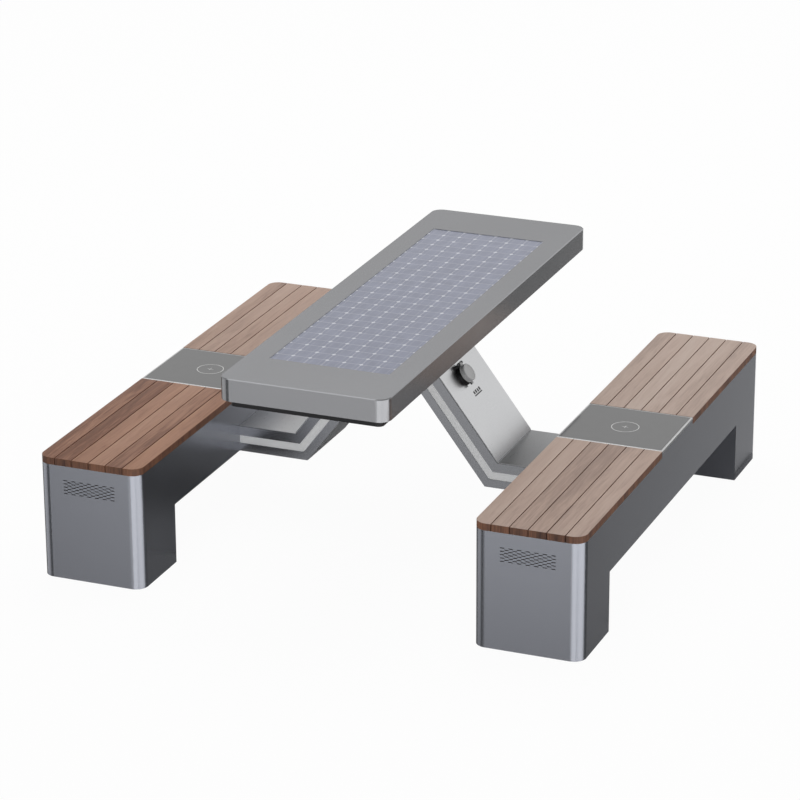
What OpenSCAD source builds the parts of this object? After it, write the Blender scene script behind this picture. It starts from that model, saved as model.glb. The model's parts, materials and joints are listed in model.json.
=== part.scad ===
// Solar charging bench: two slatted benches joined by folded arms that carry a solar table.
// Millimetres. The origin is on the ground at the centre: X across the benches, Y along them, Z up.

/* [Benches] */
// Height of the seat above the ground
seat_h = 450; // [435:1:480]
// Width of one bench
bench_w = 388; // [350:1:430]
// Length of each bench
bench_l = 2000; // [1900:10:2200]
// Width of the whole set, from one bench's outer side to the other's
set_w = 2000; // [1950:2:2080]
// Radius of the upright corners at the ends of a bench
bench_corner_r = 43; // [35:1:50]
// Thickness of the sheet that a bench is folded from
shell_t = 4; // [3:0.5:5]
// Height of the beam's underside above the ground
beam_z = 220; // [200:1:235]
// Length of a leg along the bench
leg_l = 274; // [255:1:300]

/* [Seat slats] */
// Slats side by side on each half of a bench
slat_n = 6; // [4:1:6]
// Thickness of a slat
slat_t = 26; // [22:1:32]
// Gap between neighbouring slats
slat_gap = 3; // [2:0.5:5]
// Gap between a slat's inner end and the charging pad
slat_end_gap = 3; // [2:0.5:5]
// Bevel along the upper edges of a slat
slat_bevel = 1.5; // [0.5:0.5:3]
// Battens under the slats of each half
batten_n = 3; // [2:1:4]
// Width of a batten
batten_w = 40; // [30:1:50]
// Thickness of a batten
batten_t = 6; // [5:0.5:8]
// Width of the ledge inside the bench that carries the battens
ledge_w = 22; // [18:1:28]
// Thickness of that ledge
ledge_t = 4; // [3:0.5:6]

/* [Charging pads] */
// Length of a charging pad along the bench
pad_l = 350; // [300:5:400]
// Height of the bezel around the glass
bezel_h = 9; // [8:0.5:12]
// Width of the bezel's bright rim around the glass
bezel_rim = 6; // [4:0.5:10]
// Bevel on the bezel's outer edges
bezel_bevel = 1.5; // [0.5:0.5:3]
// Width of the bezel's ledge under the glass
bezel_ledge_w = 14; // [8:1:24]
// Thickness of the pad's glass
pad_glass_t = 6; // [4:0.5:7]
// Outer radius of the charging coil
coil_r = 50; // [40:1:60]
// Inner radius of the charging coil
coil_hole_r = 22; // [15:1:30]
// Thickness of the charging coil
coil_t = 5; // [3:0.5:8]
// Thickness of the ferrite disc under the coil
ferrite_t = 3; // [2:0.5:5]

/* [Vents] */
// Columns of slots in the full rows
vent_cols = 7; // [5:1:9]
// Full rows of slots
vent_rows = 5; // [3:1:6]
// Length of one slot
vent_slot_l = 16; // [12:1:20]
// Height of one slot
vent_slot_h = 3; // [2:0.5:4]
// Distance between slots along a row
vent_pitch_x = 30; // [26:1:34]
// Distance between full rows
vent_pitch_z = 12; // [10:1:16]
// Depth of the vent's centre below the seat
vent_drop = 103; // [90:1:130]

/* [Feet] */
// Thickness of a base plate
base_t = 10; // [8:1:15]
// Distance between anchor holes across the bench
anchor_dx = 240; // [200:5:260]
// Distance between anchor holes along the bench
anchor_dy = 160; // [130:5:180]
// Radius of an anchor hole
anchor_r = 7; // [5:0.5:9]
// Radius of the conduit hole in the middle of a base plate
conduit_r = 30; // [20:1:40]
// Width of the flange in a leg that holds the base plate
foot_flange_w = 30; // [24:1:36]

/* [Table] */
// Height of the table top above the ground
table_h = 832; // [780:1:860]
// Width of the table top
table_w = 616; // [560:2:660]
// Length that the table has beyond the benches at each end
table_over = 0; // [-50:5:50]
// Radius of the table's upright corners
table_corner_r = 43; // [35:1:60]
// Depth of the table's rim
rim_h = 81; // [75:1:100]
// Bevel on the rim's upper edge
rim_bevel = 3; // [1:0.5:3.5]
// Thickness of the table's sheet
table_t = 4; // [3.5:0.5:5]
// Distance from the rim's outside to the pan below it
pan_inset = 30; // [28:1:40]
// Depth of the pan below the rim
pan_drop = 27; // [20:1:32]
// Thickness of the pan's sheet
pan_t = 3; // [2:0.5:4]
// Radius of the pan's upright corners
pan_corner_r = 20; // [12:1:30]
// Width of the pan's flange
pan_flange_w = 18; // [14:1:20]

/* [Solar panel] */
// Width of the solar panel
panel_w = 440; // [400:2:480]
// Length of the solar panel
panel_l = 1527; // [1400:1:1600]
// Depth of the glass below the table top
panel_recess = 2; // [1:0.5:3]
// Thickness of the panel's glass
solar_glass_t = 4; // [3:0.5:5]
// Thickness of the cells
cell_t = 1; // [0.5:0.5:2]
// Thickness of the backsheet
backsheet_t = 2; // [1:0.5:3]
// Cells across the panel
cell_cols = 7; // [6:1:8]
// Cells along the panel
cell_rows = 26; // [22:1:28]
// Gap between neighbouring cells
cell_gap = 1.2; // [0.8:0.1:2]
// Cut across each corner of a cell
cell_corner = 5; // [3:0.5:8]
// Width of the ledge that carries the panel
panel_ledge_w = 15; // [10:1:25]
// Width of a cross rail under the panel
rail_w = 50; // [40:1:60]
// Height of a cross rail
rail_h = 44; // [40:1:48]
// Thickness of a cross rail's sheet
rail_t = 4; // [3:0.5:6]

/* [Arms] */
// Width of the arms along Y
arm_w = 350; // [300:5:400]
// Depth of the arm's folded box
arm_t = 95; // [88:1:100]
// Angle of the slope above the ground
arm_angle = 52.85; // [50:0.05:56]
// Half width of the joined arms at the pan's underside
arm_neck = 80; // [74:1:90]
// Thickness of the arm's sheet
arm_skin_t = 5; // [4:0.5:6]
// Thickness of the plate that closes an arm at its tip
arm_cap_t = 8; // [6:1:10]
// Radius of the lower fold
arm_fold_r = 8; // [4:1:14]
// Thickness of the bright cover on the slope
cover_t = 4; // [3:0.5:5]
// Thickness of the cover on the level part
deck_cover_t = 2; // [1:0.5:2.5]
// Distance from the arm's side to the edge of its covers
cover_margin = 3; // [2:0.5:6]

/* [Lights] */
// Depth of the light strip below the arm's upper face
led_inset = 34.5; // [30:0.5:38]
// Width of the light strip
led_w = 30; // [24:0.5:34]
// Depth of the diffuser's face behind the arm's side
led_recess = 2; // [1:0.5:4]
// Thickness of the diffuser
led_t = 6; // [4:0.5:8]
// Thickness of the light board behind it
led_board_t = 1.6; // [1:0.1:2.4]
// Radius of the light strip's lower fold
led_fold_r = 20; // [12:1:26]

/* [Sockets] */
// Distance down the slope from the table's pan to the socket's centre
socket_drop = 197; // [150:1:230]
// Distance of the socket's centre in front of the middle
socket_front = 25; // [0:1:40]
// Radius of the socket's base
socket_r = 37; // [34:0.5:42]
// Height of the socket's base
socket_h = 14; // [12:0.5:18]
// Radius of the well in the socket's base
well_r = 21.5; // [18:0.5:23]
// Depth of the well
well_d = 9; // [7:0.5:11]
// Radius of the barrel behind the socket's base
barrel_r = 24; // [23:0.5:26]
// Depth of the barrel behind the cover
barrel_d = 24; // [20:1:30]
// Radius of the lid
lid_r = 35; // [32:0.5:36]
// Thickness of the lid
lid_t = 17.5; // [14:0.5:20]
// Wall of the lid
lid_wall = 3; // [2:0.5:4]
// Radius of the hinge pin
pin_r = 2; // [1.5:0.1:2.5]
// Radius of the hinge knuckles
knuckle_r = 5.5; // [5:0.1:6]
// Width of the lid's knuckle
knuckle_w = 16; // [12:1:20]
// Width of each ear on the base
ear_w = 8; // [5:1:10]
// Height of the hinge pin above the socket's base
hinge_lift = 3; // [2.5:0.5:4]
// Width of the finger tabs
tab_w = 9; // [6:1:14]
// Reach of the finger tabs beyond the lid
tab_l = 8; // [6:1:12]

/* [Clearances] */
// Gap around a piece that drops into a frame
drop_fit = 0.3; // [0.2:0.1:0.8]
// Gap around a piece that passes through a cut-out
pass_fit = 1; // [0.5:0.1:2]
// Gap under the slope cover, filled by its bonding tape
cover_bond = 0.1; // [0.05:0.05:0.5]
// Radial gap between the hinge pin and its bores
pin_fit = 0.05; // [0.03:0.01:0.09]
// Gap between the lid and the socket's base
lid_gap = 0.3; // [0.2:0.1:0.6]
// Radial gap around a screw or bolt
screw_fit = 0.3; // [0.1:0.1:0.6]

/* [Hidden] */
$fn = 48;
over = 1;

// Batteries, charge controller, inverter and junction box
battery_w = 240;
battery_l = 320;
battery_h = 150;
battery_near = 240;
terminal_r = 9;
terminal_h = 12;
controller_w = 200;
controller_l = 150;
controller_h = 62;
inverter_w = 260;
inverter_l = 210;
inverter_h = 84;
unit_near = 220;
fin_t = 4;
fin_h = 14;
fin_pitch = 20;
junction_w = 110;
junction_l = 70;
junction_h = 22;
junction_y = 75;
wire_r = 7;
wire_elbow_r = 10.5;
wire_gland_r = 10;
wire_neck_drop = 34;
wire_reach = 150;

// Screws and bolts
wood_screw_r = 2.5;
wood_screw_bite = 17;
wood_head_r = 5;
wood_head_t = 3;
bolt_r = 4;
bolt_head_r = 7.5;
bolt_head_t = 6;
anchor_bolt_inset = 15;
anchor_bolt_dy = 180;
arm_bolt_r = 5;
arm_bolt_head_r = 9;
arm_bolt_head_t = 7;
arm_bolt_inset = 45;
arm_bolt_rise = 24;
tip_bolt_x = 20;
tip_bolt_grip = 8;
tip_bolt_l = arm_cap_t + rail_t + tip_bolt_grip;
pan_screw_r = 2.5;
pan_screw_head_r = 5;
pan_screw_head_t = 3;
pan_screw_end_x = 150;
pan_screw_shares = [-0.84, -0.42, 0, 0.42, 0.84];
nut_r = 31;
nut_t = 6;

// Derived places on the benches
bench_gap = set_w - 2 * bench_w;
bench_x = (set_w - bench_w) / 2;
deck_z = seat_h - slat_t;
bezel_z = seat_h - bezel_h;
pad_glass_z = seat_h - pad_glass_t;
pad_wall_drop = 30;
floor_z = beam_z + shell_t;
batten_z = deck_z - batten_t;
ledge_z = batten_z - ledge_t;
slat_w = (bench_w - (slat_n - 1) * slat_gap) / slat_n;
slat_start = pad_l / 2 + slat_end_gap;
slat_l = bench_l / 2 - slat_start;
batten_margin = 15;
batten_first = pad_l / 2 + batten_margin + batten_w / 2;
batten_last = bench_l / 2 - bench_corner_r - batten_w / 2;
leg_y = (bench_l - leg_l) / 2;
ledge_screw_x = bench_w / 2 - shell_t - ledge_w / 2;
anchor_bolt_x = bench_w / 2 - shell_t - anchor_bolt_inset;
ferrite_r = coil_r + coil_t;

// Derived places in the table
table_l = bench_l + 2 * table_over;
rim_z = table_h - rim_h;
pan_z = rim_z - pan_drop;
pan_w = table_w - 2 * pan_inset;
pan_l = table_l - 2 * pan_inset;
pan_top_z = rim_z + table_t + pan_t;
solar_glass_z = table_h - panel_recess - solar_glass_t;
cells_z = solar_glass_z - cell_t;
backsheet_z = cells_z - backsheet_t;
rail_z = backsheet_z - rail_h;
tray_z = backsheet_z - table_t;
cell_pitch_x = panel_w / cell_cols;
cell_pitch_y = panel_l / cell_rows;
rail_inner_y = junction_y + junction_l / 2 + rail_w / 2;
rail_middle_share = 0.6;
rail_outer_share = 0.94;
rail_ys = [rail_inner_y, panel_l / 2 * rail_middle_share, panel_l / 2 * rail_outer_share];
pan_screw_x = pan_w / 2 + pan_flange_w / 2;
pan_screw_y = pan_l / 2 + pan_flange_w / 2;

// Derived places on the arms
frame_top_z = beam_z + arm_t;
fold_x = arm_neck + (pan_z - frame_top_z) / tan(arm_angle);
arm_mid_z = beam_z + arm_t / 2;
led_groove_d = led_recess + led_t + led_board_t;
channel_d = led_groove_d + arm_skin_t;
led_top_z = pan_z - pass_fit;
fold_ease = 0.05;
wire_tip_x = tip_bolt_x + 2 * pass_fit;
wire_mid = fold_point(arm_t / 2);
wire_neck_z = pan_z - wire_neck_drop;
wire_neck_x = wire_mid[0] - (wire_neck_z - wire_mid[1]) / tan(arm_angle);

// Derived places on the sockets
socket_u = (pan_z - frame_top_z) / sin(arm_angle) - socket_drop;
socket_base_w = cover_t;
hinge_u = socket_u + socket_r + knuckle_r + pass_fit / 2;
hinge_w = cover_t + socket_h + hinge_lift;
tab_t = 5;
tab_overlap = 6;
port_l = 13;
port_h = 6;
port_d = 10;
port_pitch = 14;
seal_r = 29;
seal_w = 3;
seal_h = 2;
lid_flange_h = 5;
lid_step = 1.5;
lid_bevel = 2;

sides = [["left", -1], ["right", 1]];
halves = [["front", -1], ["back", 1]];

function slat_name(side_name, half_name, i) = str("slat_", side_name, "_", half_name, "_", i);
function base_name(side_name, half_name) = str("base_plate_", side_name, "_", half_name);
function slat_left(i) = -bench_w / 2 + (i - 1) * (slat_w + slat_gap);
function screw_x(i) = i == 1 ? -ledge_screw_x : i == slat_n ? ledge_screw_x : slat_left(i) + slat_w / 2;
function batten_y(j) = batten_first + (batten_last - batten_first) * j / (batten_n - 1);
function fold_point(d) = [fold_x - d * tan(arm_angle / 2), frame_top_z - d];
function up_slope(p, distance) = p + distance * [-cos(arm_angle), sin(arm_angle)];

// Placing
module on_side(side) {
    if (side < 0) mirror([1, 0, 0]) children();
    else children();
}

module on_bench(side) {
    on_side(side) translate([bench_x, 0, 0]) children();
}

module both_ends() {
    for (half = halves) mirror([0, half[1] < 0 ? 1 : 0, 0]) children();
}

module across(width) {
    rotate([90, 0, 0]) linear_extrude(width, center = true) children();
}

// Local X runs up the slope from the fold, and local Z stands on the arm's upper face
module on_slope(side) {
    on_side(side)
        translate([fold_x, 0, frame_top_z])
            rotate([0, arm_angle, 0])
                rotate([0, 0, 180])
                    children();
}

module at_socket(side) {
    on_slope(side) translate([socket_u, socket_front, socket_base_w]) children();
}

// Shared shapes
module rounded_outline(w, l, r) {
    square([w - 2 * r, l], center = true);
    square([w, l - 2 * r], center = true);
    for (x = [-1, 1], y = [-1, 1]) translate([x * (w / 2 - r), y * (l / 2 - r)]) circle(r);
}

module rounded_prism(w, l, h, r) {
    linear_extrude(h) rounded_outline(w, l, r);
}

module bevelled_side(w, h, bevel) {
    polygon([
        [-w / 2, 0], [w / 2, 0], [w / 2, h - bevel],
        [w / 2 - bevel, h], [-w / 2 + bevel, h], [-w / 2, h - bevel]
    ]);
}

module bevelled_slab(w, l, h, r, bevel) {
    rotate([90, 0, 0]) linear_extrude(l - 2 * r, center = true) bevelled_side(w, h, bevel);
    rotate([90, 0, 90]) linear_extrude(w - 2 * r, center = true) bevelled_side(l, h, bevel);
    for (x = [-1, 1], y = [-1, 1])
        translate([x * (w / 2 - r), y * (l / 2 - r), 0])
            rotate_extrude()
                polygon([[0, 0], [r, 0], [r, h - bevel], [r - bevel, h], [0, h]]);
}

module block(w, l, h) {
    translate([-w / 2, -l / 2, 0]) cube([w, l, h]);
}

module slot_outline(l, h) {
    square([l - h, h], center = true);
    for (x = [-1, 1]) translate([x * (l - h) / 2, 0]) circle(h / 2);
}

// Head below zero, shank above it
module screw(head_r, head_t, shank_r, shank_l) {
    translate([0, 0, -head_t]) cylinder(h = head_t, r = head_r);
    cylinder(h = shank_l, r = shank_r);
}

module finned_box(w, l, h) {
    block(w, l, h);
    fins = floor((w - fin_t) / (2 * fin_pitch));
    for (i = [-fins:fins]) translate([i * fin_pitch, 0, h]) block(fin_t, l, fin_h);
}

// Benches
module slat(side, half, i) {
    color([0.62, 0.50, 0.43])
        on_bench(side) mirror([0, half < 0 ? 1 : 0, 0]) difference() {
            intersection() {
                translate([slat_left(i) + slat_w / 2, slat_start + slat_l / 2, deck_z])
                    across(slat_l) bevelled_side(slat_w, slat_t, slat_bevel);
                translate([0, 0, deck_z]) rounded_prism(bench_w, bench_l, slat_t, bench_corner_r);
            }
            for (j = [0:batten_n - 1])
                translate([screw_x(i), batten_y(j), deck_z - over])
                    cylinder(h = wood_screw_bite + 2 * over, r = wood_screw_r + screw_fit / 2);
        }
}

module vent_slots() {
    for (row = [0:vent_rows - 1], col = [0:vent_cols - 1])
        translate([
            (col - (vent_cols - 1) / 2) * vent_pitch_x,
            (row - (vent_rows - 1) / 2) * vent_pitch_z
        ]) slot_outline(vent_slot_l, vent_slot_h);
    for (row = [0:vent_rows - 2], col = [0:vent_cols - 2])
        translate([
            (col - (vent_cols - 2) / 2) * vent_pitch_x,
            (row - (vent_rows - 2) / 2) * vent_pitch_z
        ]) slot_outline(vent_slot_l, vent_slot_h);
}

module leg_space(gap, h) {
    // Plan of one leg's inside, less a gap all round
    intersection() {
        rounded_prism(bench_w - 2 * (shell_t + gap), bench_l - 2 * (shell_t + gap), h,
            bench_corner_r - shell_t - gap);
        translate([-bench_w / 2, bench_l / 2 - leg_l + shell_t + gap, 0]) cube([bench_w, leg_l, h]);
    }
}

module shell_skin() {
    difference() {
        union() {
            rounded_prism(bench_w, bench_l, deck_z, bench_corner_r);
            translate([0, 0, beam_z]) block(bench_w, pad_l, bezel_z - beam_z);
        }
        translate([0, 0, -over]) block(bench_w + 2 * over, bench_l - 2 * leg_l, beam_z + over);
        translate([0, 0, floor_z])
            rounded_prism(bench_w - 2 * shell_t, bench_l - 2 * shell_t, seat_h, bench_corner_r - shell_t);
        both_ends() translate([0, 0, -over]) leg_space(0, beam_z + shell_t + 2 * over);
    }
}

module shell_ledges() {
    both_ends() for (x = [-1, 1])
        translate([x * (bench_w / 2 - shell_t / 2 - ledge_w / 2), 0, ledge_z])
            translate([-(ledge_w + shell_t) / 2, pad_l / 2 - shell_t, 0])
                cube([ledge_w + shell_t, bench_l / 2 - bench_corner_r - pad_l / 2 + shell_t, ledge_t]);
}

module shell_cross_walls() {
    wall_h = pad_wall_drop + bezel_z - deck_z;
    both_ends()
        translate([0, pad_l / 2 - shell_t / 2, deck_z - pad_wall_drop])
            block(bench_w - shell_t, shell_t, wall_h);
}

module shell_foot_flanges() {
    both_ends() translate([0, 0, base_t]) intersection() {
        rounded_prism(bench_w - shell_t, bench_l - shell_t, shell_t, bench_corner_r - shell_t / 2);
        for (x = [-1, 1])
            translate([x * (bench_w - shell_t - foot_flange_w) / 2, leg_y, 0])
                block(foot_flange_w + shell_t, leg_l - shell_t, shell_t);
    }
}

module arm_bolt_places() {
    for (y = [-1, 1], z = [-1, 1])
        translate([bench_gap / 2, y * (arm_w / 2 - arm_bolt_inset), arm_mid_z + z * arm_bolt_rise])
            rotate([0, 90, 0]) children();
}

module wire_wall_hole() {
    translate([bench_gap / 2, junction_y, arm_mid_z])
        rotate([0, 90, 0])
            cylinder(h = 4 * arm_skin_t, r = wire_r + pass_fit, center = true);
}

module bench_shell(side) {
    color([0.44, 0.46, 0.49]) difference() {
        on_bench(side) difference() {
            union() {
                shell_skin();
                shell_ledges();
                shell_cross_walls();
                shell_foot_flanges();
            }
            both_ends() {
                translate([0, bench_l / 2 - shell_t / 2, seat_h - vent_drop])
                    across(shell_t + 2 * over) vent_slots();
                for (j = [0:batten_n - 1], x = [-1, 1])
                    translate([x * ledge_screw_x, batten_y(j), ledge_z - over])
                        cylinder(h = ledge_t + 2 * over, r = wood_screw_r + screw_fit);
                for (x = [-1, 1], y = [-1, 1])
                    translate([x * anchor_bolt_x, leg_y + y * anchor_bolt_dy / 2, base_t - over])
                        cylinder(h = shell_t + 2 * over, r = bolt_r + screw_fit);
            }
        }
        on_side(side) {
            arm_bolt_places()
                translate([0, 0, -over]) cylinder(h = shell_t + 2 * over, r = arm_bolt_r + screw_fit);
            wire_wall_hole();
        }
    }
}

module seat_battens(side) {
    color([0.55, 0.56, 0.58]) on_bench(side) both_ends() for (j = [0:batten_n - 1])
        translate([0, batten_y(j), batten_z]) difference() {
            block(bench_w - 2 * shell_t - 2 * pass_fit, batten_w, batten_t);
            for (i = [1:slat_n])
                translate([screw_x(i), 0, -over])
                    cylinder(h = batten_t + 2 * over, r = wood_screw_r + screw_fit);
        }
}

module charger_bezel(side) {
    glass_w = bench_w - 2 * bezel_rim;
    glass_l = pad_l - 2 * bezel_rim;
    color([0.62, 0.63, 0.65]) on_bench(side) translate([0, 0, bezel_z]) difference() {
        intersection() {
            across(pad_l) bevelled_side(bench_w, bezel_h, bezel_bevel);
            rotate([0, 0, 90]) across(bench_w) bevelled_side(pad_l, bezel_h, bezel_bevel);
        }
        translate([0, 0, bezel_h - pad_glass_t]) block(glass_w, glass_l, pad_glass_t + over);
        translate([0, 0, -over])
            block(glass_w - 2 * bezel_ledge_w, glass_l - 2 * bezel_ledge_w, bezel_h + 2 * over);
    }
}

module charger_glass(side) {
    color([0.50, 0.50, 0.49]) on_bench(side) translate([0, 0, pad_glass_z])
        block(bench_w - 2 * bezel_rim - 2 * drop_fit, pad_l - 2 * bezel_rim - 2 * drop_fit, pad_glass_t);
}

// Each coil is potted onto its ferrite disc as one piece
module charger_coils() {
    color([0.72, 0.45, 0.25]) for (s = sides) on_bench(s[1]) {
        translate([0, 0, pad_glass_z - coil_t]) difference() {
            cylinder(h = coil_t, r = coil_r);
            translate([0, 0, -over]) cylinder(h = coil_t + 2 * over, r = coil_hole_r);
        }
        translate([0, 0, pad_glass_z - coil_t - ferrite_t]) cylinder(h = ferrite_t, r = ferrite_r);
    }
}

module base_plate(side, half) {
    color([0.35, 0.36, 0.38]) on_bench(side) mirror([0, half < 0 ? 1 : 0, 0]) difference() {
        leg_space(drop_fit, base_t);
        translate([0, leg_y, -over]) {
            cylinder(h = base_t + 2 * over, r = conduit_r);
            for (x = [-1, 1], y = [-1, 1]) {
                translate([x * anchor_dx / 2, y * anchor_dy / 2, 0])
                    cylinder(h = base_t + 2 * over, r = anchor_r);
                translate([x * anchor_bolt_x, y * anchor_bolt_dy / 2, 0])
                    cylinder(h = base_t + 2 * over, r = bolt_r + screw_fit);
            }
        }
    }
}

// What the benches hold
module batteries() {
    color([0.16, 0.17, 0.18]) for (s = sides) on_bench(s[1])
        translate([0, -battery_near - battery_l / 2, floor_z]) {
            block(battery_w, battery_l, battery_h);
            for (x = [-1, 1])
                translate([x * battery_w / 4, battery_l / 2 - 3 * terminal_r, battery_h])
                    cylinder(h = terminal_h, r = terminal_r);
        }
}

module charge_controller() {
    color([0.20, 0.30, 0.42]) on_bench(-1)
        translate([0, unit_near + controller_l / 2, floor_z])
            finned_box(controller_w, controller_l, controller_h);
}

module inverter() {
    color([0.50, 0.51, 0.53]) on_bench(1)
        translate([0, unit_near + inverter_l / 2, floor_z]) finned_box(inverter_w, inverter_l, inverter_h);
}

// Arms
module arm_clip() {
    intersection() {
        children();
        square([bench_gap / 2, rail_z]);
    }
}

module band(d0, d1) {
    // Side view of a strip of the folded arm, between two depths below its upper face
    polygon([
        [bench_gap / 2, frame_top_z - d0], fold_point(d0), up_slope(fold_point(d0), table_h),
        up_slope(fold_point(d1), table_h), fold_point(d1), [bench_gap / 2, frame_top_z - d1]
    ]);
}

module fold_corner(d, r) {
    // What a rounded fold leaves off the sharp corner at that depth
    p = fold_point(d);
    tangent = r * tan(arm_angle / 2);
    difference() {
        polygon([p, [p[0] + tangent, p[1]], up_slope(p, tangent)]);
        translate([p[0] + tangent, p[1] + r]) circle(r + fold_ease);
    }
}

module arm_side_view() {
    arm_clip() difference() {
        band(0, arm_t);
        fold_corner(arm_t, arm_fold_r);
    }
}

module arm_hollow_view() {
    intersection() {
        band(arm_skin_t, arm_t - arm_skin_t);
        translate([arm_skin_t, 0])
            square([bench_gap / 2 - 2 * arm_skin_t, rail_z - arm_cap_t]);
    }
}

module led_view(gap) {
    intersection() {
        difference() {
            band(led_inset + gap, led_inset + led_w - gap);
            fold_corner(led_inset + led_w - gap, led_fold_r - gap);
        }
        translate([arm_skin_t + gap, 0]) square([bench_gap / 2 - arm_skin_t - 2 * gap, led_top_z - gap]);
    }
}

module channel_view() {
    intersection() {
        band(led_inset - arm_skin_t, led_inset + led_w + arm_skin_t);
        arm_hollow_view();
    }
}

module both_faces(depth, inner) {
    // Places an arm's side view behind both of its faces, from the inner depth outwards
    for (y = [-1, 1])
        translate([0, y * (arm_w / 2 - inner + depth / 2), 0]) across(depth) children();
}

module arm_frame(side) {
    color([0.40, 0.41, 0.43]) difference() {
        on_side(side) difference() {
            union() {
                difference() {
                    across(arm_w) arm_side_view();
                    across(arm_w - 2 * arm_skin_t) arm_hollow_view();
                }
                both_faces(channel_d, channel_d) channel_view();
            }
            both_faces(led_groove_d + over, led_groove_d) led_view(0);
            arm_bolt_places()
                translate([0, 0, -2 * arm_skin_t]) cylinder(h = 3 * arm_skin_t, r = arm_bolt_r + screw_fit);
            wire_wall_hole();
            translate([wire_tip_x, junction_y, rail_z - arm_cap_t - over])
                cylinder(h = arm_cap_t + 2 * over, r = wire_r + pass_fit);
            for (y = [-1, 1])
                translate([tip_bolt_x, y * rail_inner_y, rail_z - arm_cap_t - over])
                    cylinder(h = arm_cap_t + 2 * over, r = arm_bolt_r + screw_fit);
        }
        at_socket(side)
            translate([0, 0, -cover_t - arm_skin_t - over])
                cylinder(h = arm_skin_t + 2 * over, r = barrel_r + drop_fit);
    }
}

module slope_cover_view() {
    // Level at its top under the pan, and cut upright at the fold
    top_x = fold_x - (led_top_z - frame_top_z) / tan(arm_angle);
    polygon([
        [fold_x, frame_top_z + cover_bond / cos(arm_angle)],
        [fold_x, frame_top_z + cover_t / cos(arm_angle)],
        [top_x + cover_t / sin(arm_angle), led_top_z],
        [top_x + cover_bond / sin(arm_angle), led_top_z]
    ]);
}

module arm_covers(side) {
    color([0.80, 0.80, 0.81]) {
        difference() {
            on_side(side) across(arm_w - 2 * cover_margin) slope_cover_view();
            at_socket(side)
                translate([0, 0, -cover_t - over]) cylinder(h = cover_t + 2 * over, r = barrel_r + drop_fit);
        }
        on_side(side)
            translate([fold_x + drop_fit, -arm_w / 2 + cover_margin, frame_top_z])
                cube([bench_gap / 2 - fold_x - 2 * drop_fit, arm_w - 2 * cover_margin, deck_cover_t]);
    }
}

module led_diffusers() {
    color([0.88, 0.90, 0.90]) for (s = sides) on_side(s[1])
        both_faces(led_t, led_recess + led_t) led_view(drop_fit);
}

module led_boards() {
    color([0.85, 0.85, 0.80]) for (s = sides) on_side(s[1])
        both_faces(led_board_t, led_groove_d) led_view(pass_fit);
}

// Table
module panel_space(gap, z0, z1) {
    translate([0, 0, z0]) block(panel_w + 2 * gap, panel_l + 2 * gap, z1 - z0);
}

module cross_rail() {
    difference() {
        block(table_w - table_t, rail_w, rail_h);
        translate([0, 0, rail_t])
            block(table_w - 4 * table_t, rail_w - 2 * rail_t, rail_h);
    }
}

module table_frame() {
    color([0.55, 0.55, 0.54]) difference() {
        union() {
            translate([0, 0, rim_z]) difference() {
                bevelled_slab(table_w, table_l, rim_h, table_corner_r, rim_bevel);
                translate([0, 0, -over])
                    rounded_prism(table_w - 2 * table_t, table_l - 2 * table_t, rim_h - table_t + over,
                        table_corner_r - table_t);
            }
            translate([0, 0, rim_z]) difference() {
                rounded_prism(table_w - table_t, table_l - table_t, table_t, table_corner_r - table_t / 2);
                translate([0, 0, -over])
                    rounded_prism(pan_w + 2 * pass_fit, pan_l + 2 * pass_fit, table_t + 2 * over,
                        pan_corner_r + pass_fit);
            }
            difference() {
                panel_space(drop_fit + table_t, tray_z, table_h - table_t / 2);
                panel_space(-panel_ledge_w, tray_z - over, table_h + over);
            }
            for (y = rail_ys, s = [-1, 1]) translate([0, s * y, rail_z]) cross_rail();
        }
        panel_space(drop_fit, backsheet_z, table_h + over);
        for (x = [-1, 1], y = [-1, 1])
            translate([x * tip_bolt_x, y * rail_inner_y, rail_z - over])
                cylinder(h = rail_t + 2 * over, r = arm_bolt_r + screw_fit);
        pan_screw_places()
            translate([0, 0, -table_t - over]) cylinder(h = table_t + 2 * over, r = pan_screw_r + screw_fit);
    }
}

// The upper face of the rim's lip, where the pan's flange is screwed down
module pan_screw_places() {
    for (x = [-1, 1], share = pan_screw_shares)
        translate([x * pan_screw_x, share * pan_l / 2, rim_z + table_t]) children();
    for (x = [-1, 1], y = [-1, 1])
        translate([x * pan_screw_end_x, y * pan_screw_y, rim_z + table_t]) children();
}

module table_pan() {
    color([0.13, 0.14, 0.15]) difference() {
        union() {
            translate([0, 0, pan_z]) rounded_prism(pan_w, pan_l, pan_top_z - pan_z, pan_corner_r);
            translate([0, 0, pan_top_z - pan_t])
                rounded_prism(pan_w + 2 * pan_flange_w, pan_l + 2 * pan_flange_w, pan_t,
                    pan_corner_r + pan_flange_w);
        }
        translate([0, 0, pan_z + pan_t])
            rounded_prism(pan_w - 2 * pan_t, pan_l - 2 * pan_t, pan_top_z, pan_corner_r - pan_t);
        translate([0, 0, pan_z - over])
            block(2 * (arm_neck + pass_fit), arm_w + 2 * pass_fit, pan_t + 2 * over);
        pan_screw_places()
            translate([0, 0, -over]) cylinder(h = pan_t + 2 * over, r = pan_screw_r + screw_fit);
    }
}

module solar_glass() {
    color([0.70, 0.76, 0.84, 0.4]) panel_space(0, solar_glass_z, table_h - panel_recess);
}

module cell_outline() {
    w = (cell_pitch_x - cell_gap) / 2;
    l = (cell_pitch_y - cell_gap) / 2;
    c = cell_corner;
    polygon([
        [w, c - l], [w, l - c], [w - c, l], [c - w, l],
        [-w, l - c], [-w, c - l], [c - w, -l], [w - c, -l]
    ]);
}

module solar_cells() {
    color([0.50, 0.52, 0.62]) for (col = [0:cell_cols - 1], row = [0:cell_rows - 1])
        translate([
            (col - (cell_cols - 1) / 2) * cell_pitch_x,
            (row - (cell_rows - 1) / 2) * cell_pitch_y,
            cells_z
        ]) linear_extrude(cell_t) cell_outline();
}

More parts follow.
